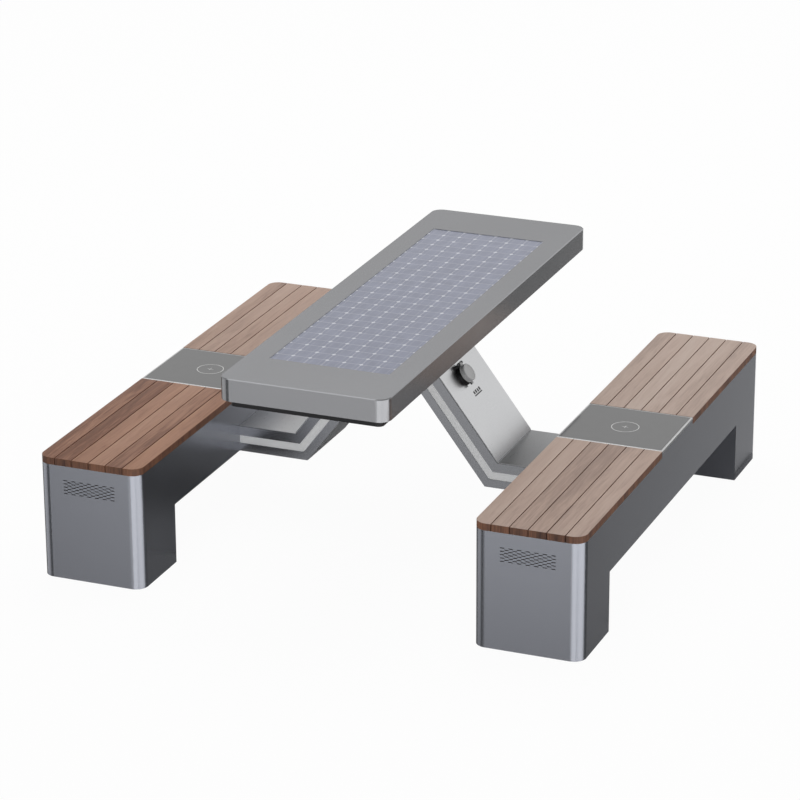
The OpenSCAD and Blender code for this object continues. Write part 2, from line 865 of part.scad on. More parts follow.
module solar_backsheet() {
    color([0.90, 0.91, 0.93]) panel_space(0, backsheet_z, cells_z);
}

module junction_box() {
    color([0.10, 0.10, 0.11]) translate([0, junction_y, backsheet_z - junction_h]) {
        block(junction_w, junction_l, junction_h);
        for (x = [-1, 1])
            translate([x * wire_tip_x, 0, -wire_r]) cylinder(h = wire_r, r = wire_gland_r);
    }
}

// Sockets on the slopes
module hinge_barrel(width, radius) {
    translate([hinge_u - socket_u, 0, hinge_w - cover_t])
        rotate([90, 0, 0]) cylinder(h = width, r = radius, center = true);
}

module socket_base(side) {
    ears_w = knuckle_w + 2 * lid_gap + 2 * ear_w;
    ear_u = hinge_u - socket_u;
    color([0.06, 0.06, 0.07]) at_socket(side) difference() {
        union() {
            cylinder(h = socket_h, r = socket_r);
            translate([0, 0, -barrel_d]) cylinder(h = barrel_d + over, r = barrel_r);
            hinge_barrel(ears_w, knuckle_r);
            translate([socket_r - knuckle_r, -ears_w / 2, 0])
                cube([ear_u - socket_r + knuckle_r, ears_w, hinge_w - cover_t]);
            translate([-lid_r - tab_l, -tab_w / 2, socket_h - tab_t])
                cube([tab_l + tab_overlap, tab_w, tab_t]);
        }
        translate([0, 0, socket_h - well_d]) cylinder(h = well_d + over, r = well_r);
        for (x = [-1, 1])
            translate([x * port_pitch / 2, 0, socket_h - well_d - port_d])
                block(port_h, port_l, port_d + over);
        translate([socket_r, -knuckle_w / 2 - lid_gap, -over])
            cube([2 * knuckle_r + tab_l, knuckle_w + 2 * lid_gap, socket_h + knuckle_r + hinge_lift + over]);
        translate([lid_r - knuckle_r, -knuckle_w / 2 - lid_gap, socket_h])
            cube([2 * knuckle_r, knuckle_w + 2 * lid_gap, knuckle_r + hinge_lift]);
        hinge_barrel(ears_w + 2 * over, pin_r + pin_fit);
        translate([0, 0, socket_h]) cylinder(h = lid_t + hinge_lift, r = lid_r + lid_gap + pass_fit);
    }
}

module socket_lid(side) {
    color([0.55, 0.56, 0.57]) at_socket(side) difference() {
        union() {
            translate([0, 0, socket_h + lid_gap]) rotate_extrude() polygon([
                [0, 0], [lid_r, 0], [lid_r, lid_flange_h], [lid_r - lid_step, lid_flange_h],
                [lid_r - lid_step, lid_t - lid_bevel], [lid_r - lid_step - lid_bevel, lid_t], [0, lid_t]
            ]);
            hinge_barrel(knuckle_w, knuckle_r);
            translate([lid_r - knuckle_r, -knuckle_w / 2, socket_h + lid_gap])
                cube([hinge_u - socket_u - lid_r + knuckle_r, knuckle_w, knuckle_r + hinge_lift - lid_gap]);
            translate([-lid_r - tab_l, -tab_w / 2, socket_h + lid_gap])
                cube([tab_l + tab_overlap, tab_w, tab_t]);
        }
        translate([0, 0, socket_h]) cylinder(h = lid_t - lid_wall + lid_gap, r = lid_r - lid_wall);
        hinge_barrel(knuckle_w + 2 * over, pin_r + pin_fit);
    }
}

module socket_seals() {
    color([0.12, 0.12, 0.12]) for (s = sides) at_socket(s[1])
        translate([0, 0, socket_h]) difference() {
            cylinder(h = seal_h, r = seal_r);
            translate([0, 0, -over]) cylinder(h = seal_h + 2 * over, r = seal_r - seal_w);
        }
}

module hinge_pins() {
    color([0.75, 0.76, 0.78]) for (s = sides) at_socket(s[1])
        hinge_barrel(knuckle_w + 2 * lid_gap + 2 * ear_w, pin_r);
}

// Wiring from the junction box through each arm into its bench
module wire_run(from, to) {
    run = to - from;
    run_l = norm(run);
    translate(from)
        rotate([0, acos(run[2] / run_l), atan2(run[1], run[0])]) cylinder(h = run_l, r = wire_r);
}

module wiring() {
    y = junction_y;
    points = [
        [wire_tip_x, y, backsheet_z - junction_h - wire_r],
        [wire_tip_x, y, pan_z],
        [wire_neck_x, y, wire_neck_z],
        [wire_mid[0], y, arm_mid_z],
        [bench_gap / 2 + wire_reach, y, arm_mid_z],
        [bench_gap / 2 + wire_reach, unit_near, arm_mid_z]
    ];
    color([0.08, 0.08, 0.08]) for (s = sides) on_side(s[1]) {
        for (i = [1:len(points) - 1]) wire_run(points[i - 1], points[i]);
        for (i = [1:len(points) - 2]) translate(points[i]) sphere(wire_elbow_r);
    }
}

// Screws and bolts
module fasteners() {
    color([0.70, 0.71, 0.73]) {
        for (s = sides) {
            on_bench(s[1]) both_ends() {
                for (j = [0:batten_n - 1], i = [1:slat_n]) {
                    under = i == 1 || i == slat_n ? ledge_t : 0;
                    translate([screw_x(i), batten_y(j), batten_z - under])
                        screw(wood_head_r, wood_head_t, wood_screw_r, under + batten_t + wood_screw_bite);
                }
                for (x = [-1, 1], y = [-1, 1])
                    translate([x * anchor_bolt_x, leg_y + y * anchor_bolt_dy / 2, base_t + shell_t])
                        mirror([0, 0, 1]) screw(bolt_head_r, bolt_head_t, bolt_r, shell_t + base_t - over);
            }
            on_side(s[1]) {
                arm_bolt_places()
                    translate([0, 0, shell_t])
                        mirror([0, 0, 1])
                            screw(arm_bolt_head_r, arm_bolt_head_t, arm_bolt_r, shell_t + 2 * arm_skin_t);
                for (y = [-1, 1])
                    translate([tip_bolt_x, y * rail_inner_y, rail_z - arm_cap_t])
                        screw(arm_bolt_head_r, arm_bolt_head_t, arm_bolt_r, tip_bolt_l);
            }
            at_socket(s[1])
                translate([0, 0, -cover_t - arm_skin_t - nut_t]) difference() {
                    cylinder(h = nut_t, r = nut_r);
                    translate([0, 0, -over]) cylinder(h = nut_t + 2 * over, r = barrel_r + pin_fit);
                }
        }
        pan_screw_places()
            translate([0, 0, pan_t])
                mirror([0, 0, 1]) screw(pan_screw_head_r, pan_screw_head_t, pan_screw_r, pan_t + table_t);
    }
}

for (s = sides, h = halves) {
    for (i = [1:slat_n])
        slat(s[1], h[1], i);
    base_plate(s[1], h[1]);
}
for (s = sides) {
    bench_shell(s[1]);
    seat_battens(s[1]);
    charger_bezel(s[1]);
    charger_glass(s[1]);
    arm_frame(s[1]);
    arm_covers(s[1]);
    socket_base(s[1]);
    socket_lid(s[1]);
}
charger_coils();
batteries();
charge_controller();
inverter();
led_diffusers();
led_boards();
table_frame();
table_pan();
solar_glass();
solar_cells();
solar_backsheet();
junction_box();
socket_seals();
hinge_pins();
wiring();
fasteners();
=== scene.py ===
"""Dresses the solar charging bench and sets it in a studio.

The seat boards, the solar panel, the pads' print and the socket lids are made here. The other
pieces are the frame's own, with their finishes.
"""

import json
import math
import random

import bmesh
import bpy
from bpy.props import FloatProperty, FloatVectorProperty, PointerProperty
from mathutils import Matrix, Vector


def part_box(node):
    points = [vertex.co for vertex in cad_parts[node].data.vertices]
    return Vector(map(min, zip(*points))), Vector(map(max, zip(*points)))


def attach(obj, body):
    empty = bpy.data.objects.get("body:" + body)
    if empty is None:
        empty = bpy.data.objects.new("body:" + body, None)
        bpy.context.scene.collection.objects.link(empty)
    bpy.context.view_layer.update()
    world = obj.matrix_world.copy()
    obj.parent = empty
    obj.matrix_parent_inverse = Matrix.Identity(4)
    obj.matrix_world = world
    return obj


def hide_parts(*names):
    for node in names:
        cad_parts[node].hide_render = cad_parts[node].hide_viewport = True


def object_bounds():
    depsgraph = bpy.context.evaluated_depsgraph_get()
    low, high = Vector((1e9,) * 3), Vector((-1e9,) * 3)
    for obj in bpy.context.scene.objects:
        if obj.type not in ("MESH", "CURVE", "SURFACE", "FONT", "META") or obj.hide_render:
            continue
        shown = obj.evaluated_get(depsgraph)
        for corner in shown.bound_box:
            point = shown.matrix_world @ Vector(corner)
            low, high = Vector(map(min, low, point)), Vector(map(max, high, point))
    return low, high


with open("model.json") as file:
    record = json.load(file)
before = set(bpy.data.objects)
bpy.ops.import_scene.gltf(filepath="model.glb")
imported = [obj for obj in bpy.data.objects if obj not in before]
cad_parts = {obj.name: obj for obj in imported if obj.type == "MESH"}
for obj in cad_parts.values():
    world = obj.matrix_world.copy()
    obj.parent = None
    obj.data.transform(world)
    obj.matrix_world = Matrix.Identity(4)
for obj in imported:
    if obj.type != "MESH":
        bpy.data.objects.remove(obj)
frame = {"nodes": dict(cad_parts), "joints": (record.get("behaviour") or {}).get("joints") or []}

bl_info = {
    "name": "Solar Charging Bench",
    "version": (1, 0, 0),
    "blender": (4, 5, 0),
    "location": "View3D > Sidebar > Charging Bench",
    "description": "Finishes a solar charging bench and sets it in a studio",
    "category": "Object",
}

CAD_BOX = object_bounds()
NODES = frame["nodes"]
SIDES = {"left": -1, "right": 1}
SEED = 11
QUARTER = math.pi / 2

# Places that repeat the part's source, in metres
BENCH_X = 0.806
BENCH_HALF = 0.194
SLAT_CORNER = 0.043
SEAT_Z = 0.450
PANEL_TOP = 0.830
PANEL_BOTTOM = 0.825
PANEL_SIZE = (0.440, 1.527)
CELLS = (7, 26)
SLOPE = math.radians(52.85)
HINGE_OFFSET = (0.043, 0.017)
LID_SEAT = 0.0143
PORTS = (-0.007, 0.007)

# The vents' slots: distance of their walls from the middle, and their heights
SLOT_OUTER = 0.9995
SLOT_INNER = 0.99
SLOT_BOTTOM = 0.3
SLOT_TOP = 0.4
# Painted shade: the near-black colour given to the slots' walls
SLOT_PAINTED_SHADE = (0.005, 0.005, 0.005, 1.0)

# Boards: steps of a rounded corner and of a rounded edge, and how close counts as touching
CORNER_STEPS = 12
EDGE_STEPS = 3
TOUCHING = 0.001
# Painted sheen: how much each half of a bench is paled, and how that differs between boards
# The paling stands in for reflected light, brightest on the right bench and at the back
PAINTED_SHEEN = {"left_front": 0.04, "left_back": 0.46, "right_front": 0.56, "right_back": 0.72}
PAINTED_SHEEN_SPREAD = 0.08
FIBRE_ROUGHNESS = 0.12

# Faces that meet at less than this angle are shaded as one
SMOOTH_ANGLE = math.radians(35)
RING_STEPS = 72
LID_STEPS = 64
# Where the conductors cross a cell, as shares of its width, and the pitch of its fine fingers
BAR_PLACES = (0.25, 0.75)
FINGER_PITCH = 0.0009

# Print: how deep it bites into its surface, and how far it stands on the pads and the covers
PRINT_BITE = 0.00005
PAD_PRINT = 0.00015
COVER_PRINT = 0.0002
SPARK_STEPS = 32
SPARK_WAIST = 0.13
SPARK_SHARPNESS = 9

# The mark below a socket, across and down the slope: a bar with ticks over it
MARK_CENTRE = -0.0235
MARK_HALF = 0.033
MARK_BAR = (-0.0870, -0.0825)
TICKS = 4
TICK_START = -0.0795
TICK_HALF = 0.0052
TICK_REACH = (0.013, 0.012)

# The lid, from its seat: radius and height of its turned form
LID_PROFILE = (
    (0.0, 0.0), (0.0342, 0.0), (0.0348, 0.0002), (0.0350, 0.0008), (0.0350, 0.0040),
    (0.0347, 0.0047), (0.0340, 0.0050), (0.0334, 0.0052), (0.0332, 0.0060), (0.0332, 0.0142),
    (0.0329, 0.0156), (0.0320, 0.0168), (0.0306, 0.0174), (0.0290, 0.0175), (0.0272, 0.0173),
    (0.0266, 0.0169), (0.0260, 0.0168), (0.0, 0.0168),
)
# Its hinge lug, its thumb tab and the tab's ribs: two corners and a bevel each
LID_BARS = (
    ((0.0300, -0.0079, 0.0003), (0.0415, 0.0079, 0.0080), 0.0006),
    ((-0.0425, -0.0043, 0.0002), (-0.0300, 0.0043, 0.0048), 0.0006),
    ((-0.0418, -0.0036, 0.0040), (-0.0408, 0.0036, 0.0053), 0.0003),
    ((-0.0398, -0.0036, 0.0040), (-0.0388, 0.0036, 0.0053), 0.0003),
    ((-0.0378, -0.0036, 0.0040), (-0.0368, 0.0036, 0.0053), 0.0003),
)
KNUCKLE = {"segments": 40, "radius1": 0.0055, "radius2": 0.0055, "depth": 0.0158}

# A port's tongue and the four thin walls of its shell, in the same way, from the port's middle
TONGUE = (((-0.0009, -0.0052, -0.0048), (0.0009, 0.0052, 0.0042), 0.0002),)
SHELL = (
    ((-0.0030, -0.0064, -0.0045), (-0.0028, 0.0064, 0.0047), 0.0),
    ((0.0028, -0.0064, -0.0045), (0.0030, 0.0064, 0.0047), 0.0),
    ((-0.0028, -0.0065, -0.0045), (0.0028, -0.0063, 0.0047), 0.0),
    ((-0.0028, 0.0063, -0.0045), (0.0028, 0.0065, 0.0047), 0.0),
)

# How bright a reflection finds the studio's walls, by the height of its direction
WALL = ((-1.0, 0.13), (-0.16, 0.13), (0.06, 0.78), (0.38, 0.70), (0.60, 0.50), (1.0, 0.50))

# Reflector cards: name, first and last bearing in degrees from +Y towards +X, lowest and
# highest angle in degrees, and brightness
CARDS = (
    ("front", 180, 210, -22, -10, 1.30),
    ("corner", 146, 182, -28, -10, 2.0),
    ("side", 72, 146, -28, -10, 1.9),
    ("left", 234, 288, -25, -10, 0.80),
    ("back", -14, 16, -27, -10, 0.75),
    ("horizon", 10, 48, 4, 22, 0.55),
    ("top", 205, 245, 50, 70, 1.2),
)
CARD_DISTANCE = 25.0
KEY_PLACE = (-0.8, 4.2, 8.5)
KEY_SIZE = (8.0, 8.0)
AIM = (0.0, 0.0, 0.4)
FLOOR_LOW = (-60, -60)
FLOOR_HIGH = (60, 60)
FLOOR_COLOUR = (0.86, 0.86, 0.86, 1.0)
# The dark mat that the metals reflect: painted shade under the set, seen only in reflections
MAT_LOW = (-1.02, -0.65)
MAT_HIGH = (1.02, 1.02)
MAT_HEIGHT = -0.002
MAT_SHADE_COLOUR = (0.36, 0.36, 0.36, 1.0)

# Where the studio camera stands
CAMERA_PLACE = (4.408698, -10.980365, 4.941466)
CAMERA_YAW = math.radians(22.1057)
CAMERA_PITCH = math.radians(-20.8293)
CAMERA_ROLL = math.radians(-0.2656)
CAMERA_LENS = 157.81
CAMERA_SENSOR = 36.0
CAMERA_REACH = 200.0


def colour(name, text, value):
    return FloatVectorProperty(
        name=name, description=text, subtype="COLOR", size=3, min=0, max=1, default=value
    )


def length(name, text, value, low, high):
    return FloatProperty(
        name=name, description=text, unit="LENGTH", min=low, max=high, default=value
    )


def share(name, text, value):
    return FloatProperty(
        name=name, description=text, subtype="FACTOR", min=0, max=1, default=value
    )


class SeatSettings(bpy.types.PropertyGroup):
    light: colour("Light grain", "Palest colour of the boards", (0.440, 0.235, 0.150))
    middle: colour("Middle grain", "Main colour of the boards", (0.290, 0.134, 0.078))
    dark: colour("Dark grain", "Colour of the dark streaks", (0.125, 0.048, 0.026))
    # Painted sheen: the pale colour that boards are mixed towards, standing in for reflected light
    sheen_pale: colour("Painted sheen", "Pale colour of the painted sheen on the boards", (0.590, 0.490, 0.430))
    edge_light: colour("Edge light", "Paler streaks on the edges", (0.290, 0.118, 0.056))
    edge_dark: colour("Edge dark", "Darker streaks on the edges", (0.060, 0.020, 0.010))
    rounding: length("Rounding", "Radius along a board's upper edges", 0.0012, 0.0005, 0.003)
    roughness: share("Roughness", "Roughness of the oiled wood", 0.50)


class MetalSettings(bpy.types.PropertyGroup):
    bench: colour("Bench", "Coat on the bench bodies", (0.300, 0.310, 0.345))
    table: colour("Table", "Coat on the table", (0.300, 0.303, 0.315))
    arm: colour("Arms", "Coat on the arms", (0.255, 0.260, 0.275))
    cover: colour("Arm covers", "Brushed covers on the arms", (0.480, 0.484, 0.492))
    bezel: colour("Pad frame", "Frame around a charging pad", (0.560, 0.560, 0.560))
    pan: colour("Pan", "Dark pan below the table", (0.022, 0.022, 0.024))
    metallic: share("Metallic", "How metallic the coats are", 1.0)
    roughness: share("Roughness", "Roughness of the coats", 0.26)


class PanelSettings(bpy.types.PropertyGroup):
    cell: colour("Cells", "Colour of the solar cells", (0.252, 0.268, 0.354))
    film: colour("Film", "White film between the cells", (0.680, 0.700, 0.760))
    bar: colour("Bars", "Thin conductors on a cell", (0.400, 0.420, 0.500))
    gap: length("Gap", "Gap between two cells", 0.0012, 0.0005, 0.002)
    corner: length("Corner", "Cut across a cell's corner", 0.0075, 0.003, 0.009)
    bar_width: length("Bar width", "Width of a conductor", 0.0012, 0.0005, 0.002)


class TrimSettings(bpy.types.PropertyGroup):
    pad: colour("Pad glass", "Back printing of the pad's glass", (0.130, 0.130, 0.130))
    print: colour("Print", "Printed ring and spark", (0.700, 0.700, 0.690))
    diffuser: colour("Lights", "Opal light strips", (0.880, 0.890, 0.895))
    # The glow shows the strips dimly lit, and is also painted light that keeps them pale on shaded
    # faces
    glow_and_painted_light: share("Glow", "Dim light of the strips, also painted light on shaded faces", 0.16)
    socket: colour("Socket", "Moulded base of the socket", (0.018, 0.018, 0.020))
    lid: colour("Lid", "Moulded lid of the socket", (0.800, 0.805, 0.810))
    ring: length("Ring", "Radius of the printed ring", 0.050, 0.03, 0.07)
    ring_width: length("Ring width", "Width of the ring's line", 0.0028, 0.001, 0.005)
    spark: length("Spark", "Width of the printed spark", 0.026, 0.01, 0.04)


class StudioSettings(bpy.types.PropertyGroup):
    key: FloatProperty(name="Key", description="Main lamp", unit="POWER", min=0, default=385.0)
    reflections: FloatProperty(
        name="Reflections", description="Brightness of the reflector cards", min=0, max=2,
        default=1.0,
    )
    ambient: share("Ambient", "Light from all round", 0.48)
    white: share("White", "Share of the floor that shows as plain white", 0.96)


SETTINGS = {
    "seat": SeatSettings,
    "metal": MetalSettings,
    "panel": PanelSettings,
    "trim": TrimSettings,
    "studio": StudioSettings,
}


class BenchSettings(bpy.types.PropertyGroup):
    seat: PointerProperty(type=SeatSettings, name="Seat", description="Seat boards")
    metal: PointerProperty(type=MetalSettings, name="Metal", description="Coats and covers")
    panel: PointerProperty(type=PanelSettings, name="Panel", description="Solar panel")
    trim: PointerProperty(type=TrimSettings, name="Trim", description="Pads, lights, sockets")
    studio: PointerProperty(type=StudioSettings, name="Studio", description="Lamps and floor")


def settings(name):
    return getattr(bpy.context.scene.charging_bench, name)


# Nodes and materials
def rgba(value):
    return (*value, 1.0)


def feed(tree, socket, value):
    """Joins an input to another socket, or sets its value."""
    if isinstance(value, bpy.types.NodeSocket):
        tree.links.new(value, socket)
    else:
        socket.default_value = value


def add(tree, kind, inputs=None, **values):
    node = tree.nodes.new(kind)
    for name, value in values.items():
        setattr(node, name, value)
    for key, value in (inputs or {}).items():
        feed(tree, node.inputs[key], value)
    return node


def find(tree, kind):
    return next(node for node in tree.nodes if node.type == kind)


def math_node(tree, operation, *values):
    return add(tree, "ShaderNodeMath", dict(enumerate(values)), operation=operation).outputs[0]


def product(tree, first, *others):
    for other in others:
        first = math_node(tree, "MULTIPLY", first, other)
    return first


def weighted(tree, *parts):
    """Adds up values, each times its weight."""
    first, *others = (math_node(tree, "MULTIPLY", *part) for part in parts)
    for other in others:
        first = math_node(tree, "ADD", first, other)
    return first


def mix_colour(tree, part, first, second, blend="MIX"):
    inputs = {0: part, 6: first, 7: second}
    return add(tree, "ShaderNodeMix", inputs, data_type="RGBA", blend_type=blend).outputs[2]


def shaded(tree, base, shade):
    """Multiplies a colour by a value."""
    grey = add(tree, "ShaderNodeCombineColor", {0: shade, 1: shade, 2: shade}).outputs[0]
    return mix_colour(tree, 1.0, base, grey, "MULTIPLY")


def spread(tree, value, low, high, out_low=0.0, out_high=1.0):
    inputs = {
        "Value": value, "From Min": low, "From Max": high, "To Min": out_low, "To Max": out_high,
    }
    return add(tree, "ShaderNodeMapRange", inputs).outputs[0]


def swing(tree, value, low=0.3, high=0.7):
    """Spreads a noise from minus one to one."""
    return spread(tree, value, low, high, -1.0, 1.0)


def stretched(tree, vector, scale, offset=None):
    inputs = {0: vector, 1: scale}
    scaled = add(tree, "ShaderNodeVectorMath", inputs, operation="MULTIPLY").outputs[0]
    if offset is None:
        return scaled
    return add(tree, "ShaderNodeVectorMath", {0: scaled, 1: offset}, operation="ADD").outputs[0]


def noise(tree, vector, scale, detail=2.0, roughness=0.5, distortion=0.0):
    inputs = {
        "Vector": vector, "Scale": scale, "Detail": detail, "Roughness": roughness,
        "Distortion": distortion,
    }
    return add(tree, "ShaderNodeTexNoise", inputs).outputs[0]


def object_place(tree):
    return add(tree, "ShaderNodeTexCoord").outputs["Object"]


FLOAT = "NodeSocketFloat"
COLOUR = "NodeSocketColor"
VECTOR = "NodeSocketVector"
SURFACE = [("Colour", COLOUR), ("Roughness", FLOAT), ("Height", FLOAT)]


def new_group(name, inputs, outputs):
    """Returns the group's tree, its given sockets, its output node and the place on the object."""
    tree = bpy.data.node_groups.new(name, "ShaderNodeTree")
    for label, kind, value in inputs:
        socket = tree.interface.new_socket(label, in_out="INPUT", socket_type=kind)
        socket.default_value = value
    for label, kind in outputs:
        tree.interface.new_socket(label, in_out="OUTPUT", socket_type=kind)
    given = tree.nodes.new("NodeGroupInput").outputs
    return tree, given, tree.nodes.new("NodeGroupOutput"), object_place(tree)


def give(tree, out, **values):
    for name, value in values.items():
        tree.links.new(value, out.inputs[name])
    return tree


def coat_group():
    """Powder coat: faint clouds, fine flakes and a soft peel."""
    tree, given, out, place = new_group(
        "Powder Coat",
        [("Colour", COLOUR, (0.5, 0.5, 0.5, 1)), ("Clouds", FLOAT, 0.06),
         ("Flakes", FLOAT, 0.02), ("Roughness", FLOAT, 0.35)],
        SURFACE,
    )
    clouds = swing(tree, noise(tree, place, scale=3.0, detail=1.0), 0.1, 0.9)
    flakes = swing(tree, noise(tree, place, scale=620.0, detail=0.0), 0.1, 0.9)
    shade = math_node(tree, "MULTIPLY_ADD", clouds, given["Clouds"], 1.0)
    shade = math_node(tree, "MULTIPLY_ADD", flakes, given["Flakes"], shade)
    return give(
        tree, out,
        Colour=shaded(tree, given["Colour"], shade),
        Roughness=math_node(tree, "MULTIPLY_ADD", clouds, 0.015, given["Roughness"]),
        Height=noise(tree, place, scale=420.0),
    )


def brushed_group():
    """Fine lines brushed along one direction."""
    tree, given, out, place = new_group(
        "Brushed Lines",
        [("Colour", COLOUR, (0.6, 0.6, 0.6, 1)), ("Stretch", VECTOR, (1, 0.02, 1)),
         ("Contrast", FLOAT, 0.08), ("Roughness", FLOAT, 0.3)],
        SURFACE,
    )
    along = stretched(tree, place, given["Stretch"])
    lines = swing(tree, noise(tree, along, scale=900.0, detail=3.0, roughness=0.7))
    clouds = swing(tree, noise(tree, place, scale=4.0))
    shade = math_node(tree, "MULTIPLY_ADD", lines, given["Contrast"], 1.0)
    shade = math_node(tree, "MULTIPLY_ADD", clouds, 0.02, shade)
    return give(
        tree, out,
        Colour=shaded(tree, given["Colour"], shade),
        Roughness=math_node(tree, "MULTIPLY_ADD", lines, 0.02, given["Roughness"]),
        Height=lines,
    )


def grain_group():
    """Long wood grain that changes from board to board, and a painted sheen that pales it."""
    tree, given, out, place = new_group(
        "Wood Grain",
        [("Light", COLOUR, (0.5, 0.3, 0.2, 1)), ("Middle", COLOUR, (0.4, 0.2, 0.1, 1)),
         ("Dark", COLOUR, (0.2, 0.1, 0.05, 1)), ("Sheen Colour", COLOUR, (0.5, 0.4, 0.3, 1)),
         ("Board", FLOAT, 0.5), ("Sheen Amount", FLOAT, 0.2), ("Roughness", FLOAT, 0.5)],
        SURFACE,
    )
    number = given["Board"]
    shifts = {i: product(tree, number, step) for i, step in enumerate((7.3, 3.1, 5.7))}
    shift = add(tree, "ShaderNodeCombineXYZ", shifts).outputs[0]
    slow = stretched(tree, place, (1.0, 0.10, 1.0), shift)
    fine = stretched(tree, place, (1.0, 0.03, 1.0), shift)
    porous = stretched(tree, place, (1.0, 0.05, 1.0), shift)
    patches = noise(tree, slow, scale=7.0, detail=3.0, roughness=0.5, distortion=0.8)
    figure = noise(tree, slow, scale=34.0, detail=5.0, roughness=0.6, distortion=1.2)
    fibres = noise(tree, fine, scale=210.0, detail=5.0, roughness=0.72)
    pores = spread(tree, noise(tree, porous, scale=600.0), 0.60, 0.74)
    body = weighted(tree, (patches, 0.55), (figure, 0.50), (fibres, 0.60), (number, 0.22))
    pale = spread(tree, body, 0.80, 1.12)
    deep = product(tree, spread(tree, body, 0.91, 0.70), 0.75)
    # Painted sheen: each board is mixed towards the sheen colour by its sheen amount
    sheen_pale = product(tree, given["Sheen Amount"], spread(tree, body, 0.65, 1.15, 0.70, 1.25))
    wood = mix_colour(tree, pale, given["Middle"], given["Light"])
    wood = mix_colour(tree, deep, wood, given["Dark"])
    wood = mix_colour(tree, product(tree, pores, 0.30), wood, given["Dark"])
    return give(
        tree, out,
        Colour=mix_colour(tree, sheen_pale, wood, given["Sheen Colour"]),
        Roughness=math_node(tree, "MULTIPLY_ADD", fibres, FIBRE_ROUGHNESS, given["Roughness"]),
        Height=math_node(tree, "SUBTRACT", fibres, product(tree, pores, 0.6)),
    )


def edge_group():
    """Upright streaks on the boards' edges."""
    tree, given, out, place = new_group(
        "Board Edge",
        [("Light", COLOUR, (0.3, 0.1, 0.05, 1)), ("Dark", COLOUR, (0.05, 0.02, 0.01, 1)),
         ("Board", FLOAT, 0.5)],
        [("Colour", COLOUR), ("Height", FLOAT)],
    )
    shifts = {0: given["Board"], 1: given["Board"]}
    shift = add(tree, "ShaderNodeCombineXYZ", shifts).outputs[0]
    upright = stretched(tree, place, (1.0, 1.0, 0.06), shift)
    streaks = noise(tree, upright, scale=190.0, detail=4.0, roughness=0.7)
    bands = noise(tree, upright, scale=34.0, roughness=0.6)
    body = weighted(tree, (streaks, 0.6), (bands, 0.5), (given["Board"], 0.10))
    return give(
        tree, out,
        Colour=mix_colour(tree, spread(tree, body, 0.42, 0.76), given["Dark"], given["Light"]),
        Height=streaks,
    )


def moulded_group():
    """Fine matt texture of moulded plastic, with faint clouds."""
    tree, given, out, place = new_group(
        "Moulded Texture",
        [("Colour", COLOUR, (0.1, 0.1, 0.1, 1)), ("Clouds", FLOAT, 0.08),
         ("Roughness", FLOAT, 0.5), ("Scale", FLOAT, 900.0)],
        SURFACE,
    )
    clouds = swing(tree, noise(tree, place, scale=22.0, detail=3.0))
    grains = add(tree, "ShaderNodeTexVoronoi", {"Vector": place, "Scale": given["Scale"]})
    shade = math_node(tree, "MULTIPLY_ADD", clouds, given["Clouds"], 1.0)
    return give(
        tree, out,
        Colour=shaded(tree, given["Colour"], shade),
        Roughness=math_node(tree, "MULTIPLY_ADD", clouds, 0.04, given["Roughness"]),
        Height=grains.outputs["Distance"],
    )


def slot_group():
    """One inside the depth of the vents' slots, where painted shade goes, nought elsewhere."""
    tree, given, out, place = new_group(
        "Slot Shade Mask",
        [("Outer Face", FLOAT, SLOT_OUTER), ("Inner Face", FLOAT, SLOT_INNER),
         ("Bottom", FLOAT, SLOT_BOTTOM), ("Top", FLOAT, SLOT_TOP)],
        [("Mask", FLOAT)],
    )
    parts = add(tree, "ShaderNodeSeparateXYZ", {0: place}).outputs
    depth = math_node(tree, "ABSOLUTE", parts["Y"])
    across = math_node(tree, "SUBTRACT", math_node(tree, "ABSOLUTE", parts["X"]), BENCH_X)
    across = math_node(tree, "ABSOLUTE", across)
    mask = product(
        tree,
        math_node(tree, "LESS_THAN", depth, given["Outer Face"]),
        math_node(tree, "GREATER_THAN", depth, given["Inner Face"]),
        math_node(tree, "GREATER_THAN", parts["Z"], given["Bottom"]),
        math_node(tree, "LESS_THAN", parts["Z"], given["Top"]),
        math_node(tree, "LESS_THAN", across, BENCH_HALF - SLAT_CORNER),
    )
    return give(tree, out, Mask=mask)


GROUP_MAKERS = {
    "Powder Coat": coat_group,
    "Brushed Lines": brushed_group,
    "Wood Grain": grain_group,
    "Board Edge": edge_group,
    "Moulded Texture": moulded_group,
    "Slot Shade Mask": slot_group,
}


def place_group(tree, name, inputs):
    group = bpy.data.node_groups.get(name) or GROUP_MAKERS[name]()
    return add(tree, "ShaderNodeGroup", inputs, node_tree=group)


def new_material(name, **values):
    material = bpy.data.materials.new(name)
    material.use_nodes = True
    tree = material.node_tree
    shader = find(tree, "BSDF_PRINCIPLED")
    for key, value in values.items():
        shader.inputs[key.replace("_", " ")].default_value = value
    return material, tree, shader


def dress(tree, shader, group, bump=0.1, distance=0.0002):
    """Joins a group's colour, roughness and height to the shader."""
    tree.links.new(group.outputs["Colour"], shader.inputs["Base Color"])
    if "Roughness" in group.outputs:
        tree.links.new(group.outputs["Roughness"], shader.inputs["Roughness"])
    if bump:
        inputs = {"Strength": bump, "Distance": distance, "Height": group.outputs["Height"]}
        height = add(tree, "ShaderNodeBump", inputs)
        tree.links.new(height.outputs[0], shader.inputs["Normal"])


def grouped(name, group, bump, inputs, **values):
    """A material whose looks come from one group."""
    material, tree, shader = new_material(name, **values)
    dress(tree, shader, place_group(tree, group, inputs), bump)
    return material


def coated(name, value, metallic, roughness, clouds=0.02, flakes=0.012, bump=0.0):
    inputs = {"Colour": rgba(value), "Clouds": clouds, "Flakes": flakes, "Roughness": roughness}
    return grouped(name, "Powder Coat", bump, inputs, Metallic=metallic)


def brushed(name, value, roughness, stretch=(1.0, 0.02, 1.0), contrast=0.04):
    inputs = {
        "Colour": rgba(value), "Stretch": stretch, "Contrast": contrast, "Roughness": roughness,
    }
    return grouped(name, "Brushed Lines", 0.0, inputs, Metallic=1.0)


